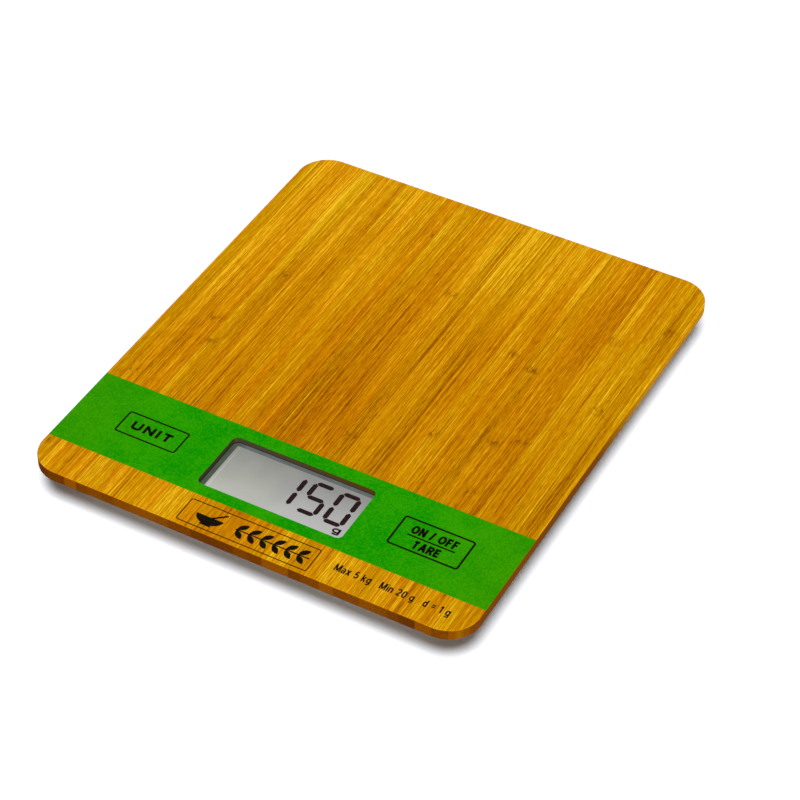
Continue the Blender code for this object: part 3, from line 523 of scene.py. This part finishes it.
def metal(name, colour, roughness, along=(0.0002, 0.006, 0.0002)):
    """Rolled or plated metal with faint lines along it."""
    steel = Shader(name, roughness=roughness, metallic=1.0)
    lines = steel.noise(along, detail=3.0, roughness=0.6)
    steel.set("Base Color", steel.brighten(colour, steel.remap(lines, 0.3, 0.7, 0.88, 1.08)))
    steel.set("Roughness", steel.remap(lines, 0.3, 0.7, roughness - 0.08, roughness + 0.12))
    steel.bump(lines, 0.000004, 0.4)
    return steel.material


def circuit_mask():
    """Green solder mask over copper lines, which show as slightly lighter bands."""
    mask = Shader("circuit_mask", roughness=0.35, specular=0.4)
    x, y, _ = mask.split(mask.place)
    rows = mask.math("PINGPONG", mask.math("DIVIDE", y, 0.0013), 1.0)
    patch = mask.noise((0.012, 0.003, 0.01), detail=0.0)
    copper = mask.math("MULTIPLY", mask.remap(rows, 0.40, 0.46), mask.remap(patch, 0.48, 0.50))
    mask.set("Base Color", mask.mix(copper, (0.010, 0.120, 0.040), (0.030, 0.230, 0.070)))
    mask.bump(copper, 0.00002, 0.5)
    return mask.material


def battery_wrap():
    """A plain wrap: dark blue, with a copper band at the positive end of each cell.

    The two cells lie side by side, either way round, so the band changes ends between them."""
    wrap = Shader("battery_wrap", roughness=0.3)
    x, y, _ = wrap.split(wrap.place)
    front_cell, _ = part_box("battery_cell_front")
    _, back_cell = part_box("battery_cell_back")
    middle = (front_cell.y + back_cell.y) / 2
    towards_plus = wrap.math("MULTIPLY", x, wrap.math("SIGN", wrap.math("SUBTRACT", middle, y)))
    band = wrap.remap(towards_plus, 0.0130, 0.0131)
    scuffs = wrap.noise((0.004, 0.0006, 0.0006), detail=3.0)
    colour = wrap.mix(band, (0.020, 0.070, 0.230), (0.560, 0.250, 0.080))
    wrap.set("Base Color", wrap.brighten(colour, wrap.remap(scuffs, 0.3, 0.7, 0.9, 1.08)))
    wrap.set("Roughness", wrap.remap(scuffs, 0.3, 0.7, 0.22, 0.42))
    return wrap.material


def make_materials():
    """Every material, by the name that the pieces use for it."""
    return {
        "bamboo": bamboo(),
        "key_film": key_film(),
        "display_face": display_face(),
        "display_glass": display_glass(),
        "ink": ink("print_ink", (0.008, 0.005, 0.003)),
        "segment": ink("segment_black", (0.020, 0.010, 0.010)),
        "white_plastic": moulded("white_plastic", (0.70, 0.70, 0.68), 0.42),
        "black_plastic": moulded("black_plastic", (0.022, 0.022, 0.023), 0.42),
        "rubber": rubber(),
        "silicone": moulded("silicone", (0.58, 0.26, 0.30), 0.6),
        "circuit_mask": circuit_mask(),
        "potting": potting(),
        "brass": metal("brass", (0.72, 0.52, 0.22), 0.34),
        "screw_steel": metal("screw_steel", (0.62, 0.62, 0.63), 0.34, (0.0003, 0.0003, 0.0003)),
        "spring_steel": metal("spring_steel", (0.66, 0.66, 0.66), 0.28),
        "nickel": metal("nickel", (0.74, 0.72, 0.68), 0.22),
        "battery_wrap": battery_wrap(),
        "lead_white": moulded("lead_white", (0.70, 0.70, 0.68), 0.5),
        "lead_red": moulded("lead_red", (0.52, 0.02, 0.02), 0.5),
        "lead_black": moulded("lead_black", (0.020, 0.020, 0.020), 0.5),
    }


# Mesh building


def mesh_of(bm, name):
    """The finished mesh of a bmesh, with its faces turned outwards."""
    bmesh.ops.recalc_face_normals(bm, faces=bm.faces)
    mesh = bpy.data.meshes.new(name)
    bm.to_mesh(mesh)
    bm.free()
    return mesh


def slab(name, low, high, corner=0.0, corner_steps=8, top_edge=0.0, bottom_edge=0.0, edge_steps=3):
    """A box from one corner point to the other, with rounded uprights and rounded rims."""
    size = Vector(high) - Vector(low)
    bm = bmesh.new()
    bmesh.ops.create_cube(bm, size=1.0)
    bmesh.ops.scale(bm, vec=size, verts=bm.verts)
    if corner:
        uprights = [e for e in bm.edges if e.verts[0].co.z * e.verts[1].co.z < 0]
        bmesh.ops.bevel(
            bm, geom=uprights, offset=corner, segments=corner_steps, profile=0.5, affect="EDGES"
        )
    for side, edge in ((1, top_edge), (-1, bottom_edge)):
        if edge:
            rim = [e for e in bm.edges if min(side * v.co.z for v in e.verts) > 0.49 * size.z]
            bmesh.ops.bevel(
                bm, geom=rim, offset=edge, segments=edge_steps, profile=0.5, affect="EDGES"
            )
    bmesh.ops.translate(bm, vec=(Vector(low) + Vector(high)) / 2, verts=bm.verts)
    return mesh_of(bm, name)


def prism(name, outlines, low, high):
    """Each outline, a list of (x, y), raised from one height to the other as a closed piece."""
    bm = bmesh.new()
    for outline in outlines:
        rings = [[bm.verts.new((x, y, z)) for x, y in outline] for z in (low, high)]
        close_rings(bm, rings)
        bm.faces.new(rings[0])
        bm.faces.new(rings[1])
    return mesh_of(bm, name)


def close_rings(bm, rings):
    """Joins each ring of vertices to the next one by a band of faces."""
    for first, second in zip(rings, rings[1:]):
        for i, start in enumerate(first):
            j = (i + 1) % len(first)
            bm.faces.new((start, first[j], second[j], second[i]))


def combine(base, tools, operation):
    """The base mesh with each tool mesh taken away, joined on, or kept only where they meet."""
    obj = bpy.data.objects.new("base", base)
    bpy.context.scene.collection.objects.link(obj)
    helpers = []
    for tool in tools:
        helper = bpy.data.objects.new("tool", tool)
        bpy.context.scene.collection.objects.link(helper)
        modifier = obj.modifiers.new("combine", "BOOLEAN")
        modifier.operation = operation
        modifier.solver = "EXACT"
        modifier.object = helper
        helpers.append(helper)
    bpy.context.view_layer.update()
    evaluated = obj.evaluated_get(bpy.context.evaluated_depsgraph_get())
    result = bpy.data.meshes.new_from_object(evaluated)
    result.name = base.name
    for used in (obj, *helpers):
        bpy.data.objects.remove(used, do_unlink=True)
    return result


def rounded_outline(low, high, radius, steps=6):
    """A rounded rectangle between two (x, y) corners, counterclockwise."""
    points = []
    corners = (
        (high[0] - radius, high[1] - radius, 0.0),
        (low[0] + radius, high[1] - radius, math.pi / 2),
        (low[0] + radius, low[1] + radius, math.pi),
        (high[0] - radius, low[1] + radius, 3 * math.pi / 2),
    )
    for x, y, start in corners:
        for step in range(steps + 1):
            angle = start + math.pi / 2 * step / steps
            points.append((x + radius * math.cos(angle), y + radius * math.sin(angle)))
    return points


def line_loop(name, outer, inner, low, high):
    """A thin closed loop between two outlines of the same number of points."""
    bm = bmesh.new()
    rings = [
        [bm.verts.new((x, y, z)) for x, y in outline]
        for outline, z in ((outer, low), (outer, high), (inner, high), (inner, low))
    ]
    close_rings(bm, [*rings, rings[0]])
    return mesh_of(bm, name)


def arc(x, y, width, height, start, end):
    """Points on an ellipse about (x, y), from one angle in degrees to another."""
    steps = max(2, round(abs(end - start) / 15))
    angles = [math.radians(start + (end - start) * i / steps) for i in range(steps + 1)]
    return [(x + width * math.cos(a), y + height * math.sin(a)) for a in angles]


def loop(x, y, width, height):
    """An ellipse as two strokes that overlap a little where they meet."""
    return [arc(x, y, width, height, -5, 185), arc(x, y, width, height, 175, 365)]


# Letters, each as its width and its pen strokes. They are in capital heights, up to the stretch
# that fits a line to its span, and half is half of the pen's width.

STEM = [(0.0, 0.0), (0.0, 1.0)]


def signs_and_figures(half):
    """The signs and figures of the capacity line and the keys."""
    low = half
    high = 1.0 - half
    return {
        " ": (0.10, []),
        "/": (0.26, [[(0.0, 0.0), (0.26, 1.0)]]),
        "=": (0.50, [[(0.0, 0.36), (0.50, 0.36)], [(0.0, 0.64), (0.50, 0.64)]]),
        "0": (0.46, loop(0.23, 0.5, 0.23, 0.5 - half)),
        "1": (0.24, [[(0.22, 0.0), (0.22, 1.0)], [(0.0, 0.74), (0.20, high)]]),
        "2": (
            0.46,
            [
                [*arc(0.22, 0.70, 0.22, 0.30 - half, 165, -35), (0.0, low)],
                [(0.0, low), (0.48, low)],
            ],
        ),
        "5": (
            0.46,
            [
                [(0.44, high), (0.06, high)],
                [(0.09, high), (0.03, 0.46)],
                arc(0.22, 0.33, 0.24, 0.33 - half, 140, -150),
            ],
        ),
    }


def capitals(half):
    """The capitals in the print."""
    low = half
    high = 1.0 - half
    return {
        "A": (
            0.66,
            [
                [(0.0, 0.0), (0.33, 1.0)],
                [(0.66, 0.0), (0.33, 1.0)],
                [(0.12, 0.30), (0.54, 0.30)],
            ],
        ),
        "E": (
            0.52,
            [
                STEM,
                [(0.0, high), (0.53, high)],
                [(0.0, 0.52), (0.49, 0.52)],
                [(0.0, low), (0.55, low)],
            ],
        ),
        "F": (0.48, [STEM, [(0.0, high), (0.52, high)], [(0.0, 0.50), (0.44, 0.50)]]),
        "I": (0.0, [STEM]),
        "M": (
            0.70,
            [
                STEM,
                [(0.70, 0.0), (0.70, 1.0)],
                [(0.0, 1.0), (0.35, low)],
                [(0.70, 1.0), (0.35, low)],
            ],
        ),
        "N": (0.58, [STEM, [(0.58, 0.0), (0.58, 1.0)], [(0.01, high), (0.57, low)]]),
        "O": (0.68, loop(0.34, 0.5, 0.34, 0.5 - half)),
        "R": (
            0.56,
            [
                STEM,
                [
                    (0.0, high),
                    *arc(0.30, (high + 0.50) / 2, 0.25, (high - 0.50) / 2, 90, -90),
                    (0.0, 0.50),
                ],
                [(0.28, 0.50), (0.56, 0.0)],
            ],
        ),
        "T": (0.58, [[(-0.04, high), (0.62, high)], [(0.29, 0.0), (0.29, 1.0)]]),
        "U": (0.58, [[(0.0, 1.0), *arc(0.29, 0.29, 0.29, 0.29 - half, 180, 360), (0.58, 1.0)]]),
    }


def small_letters(half):
    """The small letters in the print; some of them reach below the baseline."""
    small = SMALL_LETTER_HEIGHT
    ring = loop(0.22, small / 2, 0.22, small / 2 - half)
    return {
        "a": (
            0.42,
            [
                [(0.40, 0.0), *arc(0.21, small - 0.20, 0.19, 0.20 - half, 0, 155)],
                *loop(0.20, 0.21, 0.20, 0.23 - half),
            ],
        ),
        "d": (0.44, [*ring, [(0.44, 0.0), (0.44, 1.0)]]),
        "g": (0.44, [*ring, [(0.44, small), *arc(0.23, -0.06, 0.21, 0.20 - half, 0, -150)]]),
        "i": (0.0, [[(0.0, 0.0), (0.0, small)], [(0.0, 0.86), (0.0, 1.0)]]),
        "k": (0.40, [STEM, [(0.0, 0.26), (0.38, small)], [(0.14, 0.42), (0.42, 0.0)]]),
        "n": (
            0.42,
            [
                [(0.0, 0.0), (0.0, small)],
                [*arc(0.21, small - 0.22, 0.21, 0.22 - half, 180, 0), (0.42, 0.0)],
            ],
        ),
        "x": (0.42, [[(0.0, 0.0), (0.42, small)], [(0.42, 0.0), (0.0, small)]]),
    }


def stroke_outline(points, width):
    """The outline of a pen stroke along a line of points, cut square at both ends."""
    line = [Vector(point) for point in points]
    left = []
    right = []
    for i, point in enumerate(line):
        before = (point - line[i - 1]).normalized() if i else None
        after = (line[i + 1] - point).normalized() if i < len(line) - 1 else None
        before = before or after
        after = after or before
        across = Vector((-before.y - after.y, before.x + after.x)).normalized()
        reach = width / 2 / across.dot((-before.y, before.x))
        left.append(point + across * reach)
        right.append(point - across * reach)
    return left + right[::-1]


def lettering(words, left, right, base, cap_height, pen):
    """Outlines of plain upright letters that reach from left to right and stand on a baseline."""
    half = pen / cap_height / 2
    shapes = signs_and_figures(half) | capitals(half) | small_letters(half)
    letters = [shapes[letter] for letter in words]
    gap = 0.14 + 2 * half
    full_width = sum(width for width, _ in letters) + gap * (len(letters) - 1)
    scale = (right - left - pen) / full_width
    pen_x = left + pen / 2
    outlines = []
    for width, strokes in letters:
        for stroke in strokes:
            placed = [(pen_x + x * scale, base + y * cap_height) for x, y in stroke]
            outlines.append(stroke_outline(placed, pen))
        pen_x += (width + gap) * scale
    return outlines


# Pieces


def add_piece(name, mesh, material, body="platform", stands_for=()):
    """Adds a piece to the scene on its body, with its material and the nodes it stands for."""
    obj = bpy.data.objects.new(name, mesh)
    bpy.context.scene.collection.objects.link(obj)
    mesh.materials.clear()
    mesh.materials.append(MATERIALS[material])
    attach(obj, body)
    if stands_for:
        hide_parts(*stands_for)
    return obj


def soften(obj, angle=SHARP_ANGLE):
    """Smooth shading that keeps flat faces flat and sharp edges sharp."""
    obj.data.shade_smooth()
    obj.data.set_sharp_from_angle(angle=angle)
    normals = obj.modifiers.new("flat_faces", "WEIGHTED_NORMAL")
    normals.keep_sharp = True


def board_blank(name):
    """The whole board, with its rounded corners and edges, before anything is cut from it."""
    low = (BOARD_LOW.x, BOARD_LOW.y, BOARD_LOW.z)
    high = (BOARD_HIGH.x, BOARD_HIGH.y, SURFACE)
    return slab(
        name,
        low,
        high,
        corner=BOARD_CORNER,
        corner_steps=16,
        top_edge=BOARD_TOP_EDGE,
        bottom_edge=BOARD_BOTTOM_EDGE,
        edge_steps=4,
    )


def window_blank(name):
    """The window's opening, cut through the board and the film alike."""
    low = (-WINDOW_HALF_WIDTH, FRONT + WINDOW_FRONT, BOARD_LOW.z - PAST_SURFACE)
    high = (WINDOW_HALF_WIDTH, FRONT + WINDOW_BACK, SURFACE + PAST_SURFACE)
    return slab(name, low, high, corner=WINDOW_CORNER)


def panel_blank(name, spare):
    """The panel's band across the board, spare wider and deeper than the film in it."""
    low = (2 * BOARD_LOW.x, FRONT + PANEL_FRONT - spare, SURFACE - FILM_THICKNESS - spare)
    high = (2 * BOARD_HIGH.x, FRONT + PANEL_BACK + spare, SURFACE + PAST_SURFACE)
    return slab(name, low, high)


def room_for(nodes, clearance):
    """One box per frame node, a little larger than it, cut down through the board's underside."""
    tools = []
    for node in nodes:
        low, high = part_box(node)
        low = (low.x - clearance, low.y - clearance, BOARD_LOW.z - PAST_SURFACE)
        high = (high.x + clearance, high.y + clearance, high.z + clearance)
        tools.append(slab(f"{node}_room", low, high))
    return tools


def build_board():
    """The board, with the film's recess, the window and room for what is let into its underside."""
    screws = [n for n in NODES if "screw" in n]
    hidden = ["display_frame", "touch_pad_unit", "touch_pad_tare", *screws]
    tools = [panel_blank("panel_recess", FILM_GAP), window_blank("board_window")]
    tools += room_for(hidden, CLEARANCE)
    mesh = combine(board_blank("bamboo_board"), tools, "DIFFERENCE")
    board = add_piece("bamboo_board", mesh, "bamboo", stands_for=["platform_board"])
    soften(board)


def build_film():
    """The film follows the board's own rounded edge at both ends."""
    band = combine(board_blank("key_panel_film"), [panel_blank("panel_band", 0.0)], "INTERSECT")
    mesh = combine(band, [window_blank("film_window")], "DIFFERENCE")
    film = add_piece(
        "key_panel_film", mesh, "key_film", stands_for=["control_panel_film"]
    )
    soften(film)


def build_print():
    """Key names and their boxes, the capacity line, and a bowl and leaves in a frame."""
    add_outline("unit_key_outline", UNIT_KEY_BOX, UNIT_KEY_CORNER, UNIT_KEY_LINE)
    add_words(
        "unit_key_name", "UNIT", UNIT_NAME_SPAN, UNIT_NAME_BASE, UNIT_NAME_HEIGHT, UNIT_NAME_PEN
    )
    add_outline("tare_key_outline", TARE_KEY_BOX, TARE_KEY_CORNER, TARE_KEY_LINE)
    add_words(
        "power_key_name",
        "ON / OFF",
        POWER_NAME_SPAN,
        POWER_NAME_BASE,
        POWER_NAME_HEIGHT,
        TARE_KEY_PEN,
    )
    add_rule("key_divider", *DIVIDER_ENDS, DIVIDER_LINE)
    add_words(
        "tare_key_name", "TARE", TARE_NAME_SPAN, TARE_NAME_BASE, TARE_NAME_HEIGHT, TARE_KEY_PEN
    )
    capacity = "Max 5 kg   Min 20 g   d = 1 g"
    add_words(
        "capacity_line", capacity, CAPACITY_SPAN, CAPACITY_BASE, CAPACITY_HEIGHT, CAPACITY_PEN
    )
    add_outline("mark_outline", MARK_BOX, MARK_CORNER, MARK_LINE)
    build_bowl_mark()
    build_leaf_border()


def on_board(point):
    """A print position, given by x and distance from the front edge, in the scale's x and y."""
    return Vector((point[0], FRONT + point[1]))


def add_shapes(name, outlines):
    """Outlines raised into a thin layer of ink."""
    add_piece(name, prism(name, outlines, PRINT_LOW, PRINT_HIGH), "ink")


def add_words(name, words, span, base, cap_height, pen):
    """Words that fill a span of x, with their baseline at a distance from the front edge."""
    add_shapes(name, lettering(words, *span, FRONT + base, cap_height, pen))


def add_rule(name, start, end, width):
    """A straight printed line."""
    add_shapes(name, [stroke_outline([on_board(start), on_board(end)], width)])


def add_outline(name, box, radius, width):
    """A printed frame: a rounded box drawn with a line of the given width."""
    low, high = (on_board(corner) for corner in box)
    inset = Vector((width, width))
    outer = rounded_outline(low, high, radius)
    inner = rounded_outline(low + inset, high - inset, radius - width)
    add_piece(name, line_loop(name, outer, inner, PRINT_LOW, PRINT_HIGH), "ink")


def leaf_outline(root, angle, steps=8):
    """A pointed leaf from its root, at an angle from +X."""
    along = Vector((math.cos(angle), math.sin(angle)))
    across = Vector((-along.y, along.x))
    points = []
    for side in (1, -1):
        for step in range(steps):
            share = step / steps if side > 0 else 1 - step / steps
            half = side * LEAF_WIDTH / 2 * math.sin(math.pi * share) ** 0.8
            points.append(root + along * LEAF_LENGTH * share + across * half)
    return points


def build_leaf_border():
    """Pairs of leaves along a cane."""
    start = on_board(LEAF_BORDER_START)
    end = start + Vector((LEAF_PAIRS * LEAF_PITCH, 0.0))
    leaves = []
    for number in range(LEAF_PAIRS):
        for side in (1, -1):
            root = start + Vector((FIRST_LEAF + LEAF_PITCH * number, side * CANE_WIDTH / 2))
            leaves.append(leaf_outline(root, side * LEAF_ANGLE))
    add_shapes("leaf_border", leaves)
    add_shapes("leaf_border_cane", [stroke_outline([start, end], CANE_WIDTH)])


def build_bowl_mark():
    """A mixing bowl on its foot, with a spoon."""
    centre = on_board(BOWL_MARK_CENTRE)

    def about(points):
        return [centre + Vector(point) for point in points]

    bowl = about(arc(0.0, 0.0006, BOWL_HALF_WIDTH, BOWL_DEPTH, 180, 360))
    foot = stroke_outline(about([(-0.0024, -0.0038), (0.0024, -0.0038)]), 0.0008)
    spoon = stroke_outline(about([(0.0008, 0.0004), (0.0058, 0.0044)]), 0.0009)
    add_shapes("bowl_mark", [bowl, foot, spoon])


def bar_outline(middle, upright):
    """One segment, a bar that narrows to a blunt tip at each end."""
    tip = BAR_LENGTH / 2
    shoulder = tip - TIP_LENGTH
    half = STROKE / 2
    blunt = TIP_BLUNTNESS * half
    corners = [
        (tip, blunt),
        (shoulder, half),
        (-shoulder, half),
        (-tip, blunt),
        (-tip, -blunt),
        (-shoulder, -half),
        (shoulder, -half),
        (tip, -blunt),
    ]
    if upright:
        corners = [(-y, x) for x, y in corners]
    return [(middle[0] + x, middle[1] + y) for x, y in corners]


def segment_outlines(digit, right_edge):
    """The lit segments of one figure: a to f run clockwise from the top, and g is the middle."""
    left = right_edge - DIGIT_WIDTH + STROKE / 2
    right = right_edge - STROKE / 2
    middle_x = (left + right) / 2
    base = FRONT + DIGIT_BASE
    low = base + STROKE / 2
    top = base + DIGIT_HEIGHT - STROKE / 2
    middle = (low + top) / 2
    upper = (middle + top) / 2
    lower = (middle + low) / 2
    bars = {
        "a": ((middle_x, top), False),
        "b": ((right, upper), True),
        "c": ((right, lower), True),
        "d": ((middle_x, low), False),
        "e": ((left, lower), True),
        "f": ((left, upper), True),
        "g": ((middle_x, middle), False),
    }
    return [bar_outline(*bars[letter]) for letter in SEGMENTS_OF[digit]]


def build_display():
    """The grey face stands for the frame's plain one, and the figures lie on it."""
    low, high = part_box("display_polariser")
    face_top = high.z - FIGURE_THICKNESS
    top = (high.x, high.y, face_top)
    mesh = slab(
        "display_face", low, top, corner=0.0004, corner_steps=3, top_edge=0.00005, edge_steps=1
    )
    face = add_piece(
        "display_face", mesh, "display_face", stands_for=["display_polariser"]
    )
    soften(face)
    figures = []
    for digit, right_edge in zip(SHOWN_DIGITS, DIGIT_RIGHT_EDGES):
        figures += segment_outlines(digit, right_edge)
    sign = lettering("g", *GRAM_SPAN, FRONT + GRAM_BASE, GRAM_HEIGHT, GRAM_PEN)
    for name, outlines in (("display_figures", figures), ("display_gram_sign", sign)):
        mesh = prism(name, outlines, face_top - FIGURE_THICKNESS / 3, high.z)
        add_piece(name, mesh, "segment")


def pad_profile(radius, height):
    """Half of a pad's section: a flat tread with two ring grooves and a rounded rim."""
    points = [(0.0, height), (radius, height), (radius, PAD_RIM)]
    for step in range(1, PAD_RIM_STEPS + 1):
        angle = math.pi / 2 * step / PAD_RIM_STEPS
        inward = radius - PAD_RIM + PAD_RIM * math.cos(angle)
        points.append((inward, PAD_RIM - PAD_RIM * math.sin(angle)))
    for place in PAD_GROOVE_PLACES:
        middle = place * radius
        points += [
            (middle + PAD_GROOVE_MOUTH / 2, 0.0),
            (middle + PAD_GROOVE_FLOOR / 2, PAD_GROOVE_DEPTH),
            (middle - PAD_GROOVE_FLOOR / 2, PAD_GROOVE_DEPTH),
            (middle - PAD_GROOVE_MOUTH / 2, 0.0),
        ]
    points.append((0.0, 0.0))
    return points


def spun(name, centre, profile, steps):
    """A profile whose first and last points are on the axis, spun into a closed solid."""
    bm = bmesh.new()
    top = bm.verts.new((centre[0], centre[1], profile[0][1]))
    bottom = bm.verts.new((centre[0], centre[1], profile[-1][1]))
    rings = []
    for radius, height in profile[1:-1]:
        ring = []
        for step in range(steps):
            angle = math.tau * step / steps
            x = centre[0] + radius * math.cos(angle)
            y = centre[1] + radius * math.sin(angle)
            ring.append(bm.verts.new((x, y, height)))
        rings.append(ring)
    close_rings(bm, rings)
    for tip, ring in ((top, rings[0]), (bottom, rings[-1])):
        for i, vertex in enumerate(ring):
            bm.faces.new((tip, vertex, ring[(i + 1) % steps]))
    return mesh_of(bm, name)


def build_pads():
    """A grooved rubber pad under each foot."""
    for node in sorted(n for n in NODES if n.startswith("foot_pad_")):
        low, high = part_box(node)
        centre = (low + high) / 2
        profile = pad_profile((high.x - low.x) / 2, high.z)
        name = node.replace("foot_pad", "grooved_pad")
        mesh = spun(name, centre, profile, PAD_STEPS)
        pad = add_piece(name, mesh, "rubber", node.replace("pad_", ""), [node])
        soften(pad, PAD_SHARP_ANGLE)


def build_door():
    """The battery door with grip ribs, between grooves near the end that opens."""
    low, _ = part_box("battery_door")
    grooves = []
    for number in range(GROOVE_COUNT):
        middle = FIRST_GROOVE + GROOVE_PITCH * number
        half_length = FIRST_GROOVE_HALF_LENGTH - GROOVE_TAPER * number
        start = (-half_length, middle - GROOVE_WIDTH / 2, low.z - GROOVE_DEPTH)
        end = (half_length, middle + GROOVE_WIDTH / 2, low.z + GROOVE_DEPTH)
        grooves.append(slab("rib_groove", start, end, corner=GROOVE_CORNER, corner_steps=3))
    base = clean_copy(NODES["battery_door"], "ribbed_battery_door")
    mesh = combine(base, grooves, "DIFFERENCE")
    door = add_piece(
        mesh.name, mesh, "white_plastic", "battery_door", ["battery_door"]
    )
    soften(door)


def clean_copy(node, name):
    """A frame node's mesh with its doubled vertices merged, so that it can be cut."""
    bm = bmesh.new()
    bm.from_mesh(node.data)
    bmesh.ops.remove_doubles(bm, verts=bm.verts, dist=WELD_DISTANCE)
    return mesh_of(bm, name)


# The frame's own pieces that stay in view, by the start of their names, with their materials.
# The first start that fits counts, so circuit_board comes after its screws and its chip.

FRAME_FINISHES = {
    "bottom_housing": "white_plastic",
    "foot_cup": "black_plastic",
    "display_frame": "black_plastic",
    "display_glass": "display_glass",
    "display_connector_strip": "silicone",
    "circuit_board_screw": "screw_steel",
    "circuit_board_chip": "potting",
    "circuit_board": "circuit_mask",
    "touch_pad": "brass",
    "touch_lead": "lead_white",
    "load_cell_bracket": "white_plastic",
    "load_cell_lead": "lead_white",
    "load_cell": "spring_steel",
    "bracket_screw": "screw_steel",
    "housing_screw": "screw_steel",
    "battery_cell": "battery_wrap",
    "battery_lead_plus": "lead_red",
    "battery_lead_minus": "lead_black",
    "contact_plate": "nickel",
    "contact_spring": "nickel",
}


def finish_frame_nodes():
    """Gives each shown node its material, and smooth shading between its facets."""
    for name, node in NODES.items():
        if node.hide_render:
            continue
        kind = next(start for start in FRAME_FINISHES if name.startswith(start))
        node.data.materials.clear()
        node.data.materials.append(MATERIALS[FRAME_FINISHES[kind]])
        node.data.polygons.foreach_set("material_index", [0] * len(node.data.polygons))
        if "custom_normal" in node.data.attributes:
            node.data.attributes.remove(node.data.attributes["custom_normal"])
        node.data.shade_smooth()
        weld = node.modifiers.new("weld", "WELD")
        weld.merge_threshold = WELD_DISTANCE
        split = node.modifiers.new("edges", "EDGE_SPLIT")
        split.split_angle = SHARP_ANGLE
        node.modifiers.new("flat_faces", "WEIGHTED_NORMAL")


# Studio


def build_floor():
    """A plain pale floor that is seen only from above and stops no direct light."""
    bm = bmesh.new()
    bmesh.ops.create_grid(bm, x_segments=1, y_segments=1, size=4.0)
    mesh = mesh_of(bm, "studio_floor")
    floor = bpy.data.objects.new("studio_floor", mesh)
    bpy.context.scene.collection.objects.link(floor)
    material = bpy.data.materials.new("studio_floor")
    material.use_nodes = True
    tree = material.node_tree
    surface = tree.nodes["Principled BSDF"]
    surface.inputs["Base Color"].default_value = (0.90, 0.93, 0.98, 1.0)
    surface.inputs["Roughness"].default_value = 0.9
    surface.inputs["Specular IOR Level"].default_value = 0.0
    clear = tree.nodes.new("ShaderNodeBsdfTransparent")
    side = tree.nodes.new("ShaderNodeNewGeometry")
    mix = tree.nodes.new("ShaderNodeMixShader")
    tree.links.new(side.outputs["Backfacing"], mix.inputs[0])
    tree.links.new(surface.outputs[0], mix.inputs[1])
    tree.links.new(clear.outputs[0], mix.inputs[2])
    tree.links.new(mix.outputs[0], tree.nodes["Material Output"].inputs["Surface"])
    mesh.materials.append(material)
    floor.visible_shadow = False


def build_world():
    """An even white surround above the floor, and a dimmer grey one below it."""
    world = bpy.data.worlds.new("studio")
    bpy.context.scene.world = world
    world.use_nodes = True
    tree = world.node_tree
    coordinates = tree.nodes.new("ShaderNodeTexCoord")
    split = tree.nodes.new("ShaderNodeSeparateXYZ")
    ramp = tree.nodes.new("ShaderNodeValToRGB")
    ramp.color_ramp.elements[0].position = 0.49
    ramp.color_ramp.elements[0].color = (0.20, 0.20, 0.20, 1.0)
    ramp.color_ramp.elements[1].position = 0.50
    shift = tree.nodes.new("ShaderNodeMath")
    shift.operation = "MULTIPLY_ADD"
    shift.inputs[1].default_value = 0.5
    shift.inputs[2].default_value = 0.5
    tree.links.new(coordinates.outputs["Generated"], split.inputs[0])
    tree.links.new(split.outputs["Z"], shift.inputs[0])
    tree.links.new(shift.outputs[0], ramp.inputs[0])
    background = tree.nodes["Background"]
    tree.links.new(ramp.outputs[0], background.inputs["Color"])
    background.inputs["Strength"].default_value = WORLD_STRENGTH


def aim(place, target):
    """The turn that points a light or a camera from its place at a target."""
    return (Vector(target) - Vector(place)).to_track_quat("-Z", "Y")


def build_lights():
    """A wide soft light from above, in front and to the right, and a faint one from below."""
    above = bpy.data.lights.new("key_light", "SUN")
    above.energy = KEY_LIGHT_STRENGTH
    above.angle = KEY_LIGHT_ANGLE
    below = bpy.data.lights.new("under_light", "AREA")
    below.energy = UNDER_LIGHT_WATTS
    below.size = 0.8
    for light, place in ((above, KEY_LIGHT_PLACE), (below, UNDER_LIGHT_PLACE)):
        obj = bpy.data.objects.new(light.name, light)
        obj.location = place
        obj.rotation_mode = "QUATERNION"
        obj.rotation_quaternion = aim(place, (0.0, 0.0, 0.0))
        bpy.context.scene.collection.objects.link(obj)


def build_camera():
    """A long lens from the front right, above."""
    camera = bpy.data.cameras.new("camera")
    camera.sensor_width = 36.0
    camera.lens = CAMERA_LENS
    camera.clip_start = 0.01
    obj = bpy.data.objects.new("camera", camera)
    bpy.context.scene.collection.objects.link(obj)
    turn = aim(CAMERA_PLACE, CAMERA_TARGET).to_matrix().to_4x4()
    roll = Matrix.Rotation(CAMERA_ROLL, 4, "Z")
    obj.matrix_world = Matrix.Translation(CAMERA_PLACE) @ turn @ roll
    bpy.context.scene.camera = obj


MATERIALS = make_materials()
build_board()
build_film()
build_print()
build_display()
build_pads()
build_door()
finish_frame_nodes()
build_floor()
build_world()
build_lights()
build_camera()
bpy.context.scene.view_settings.view_transform = "Standard"
bpy.context.view_layer.update()
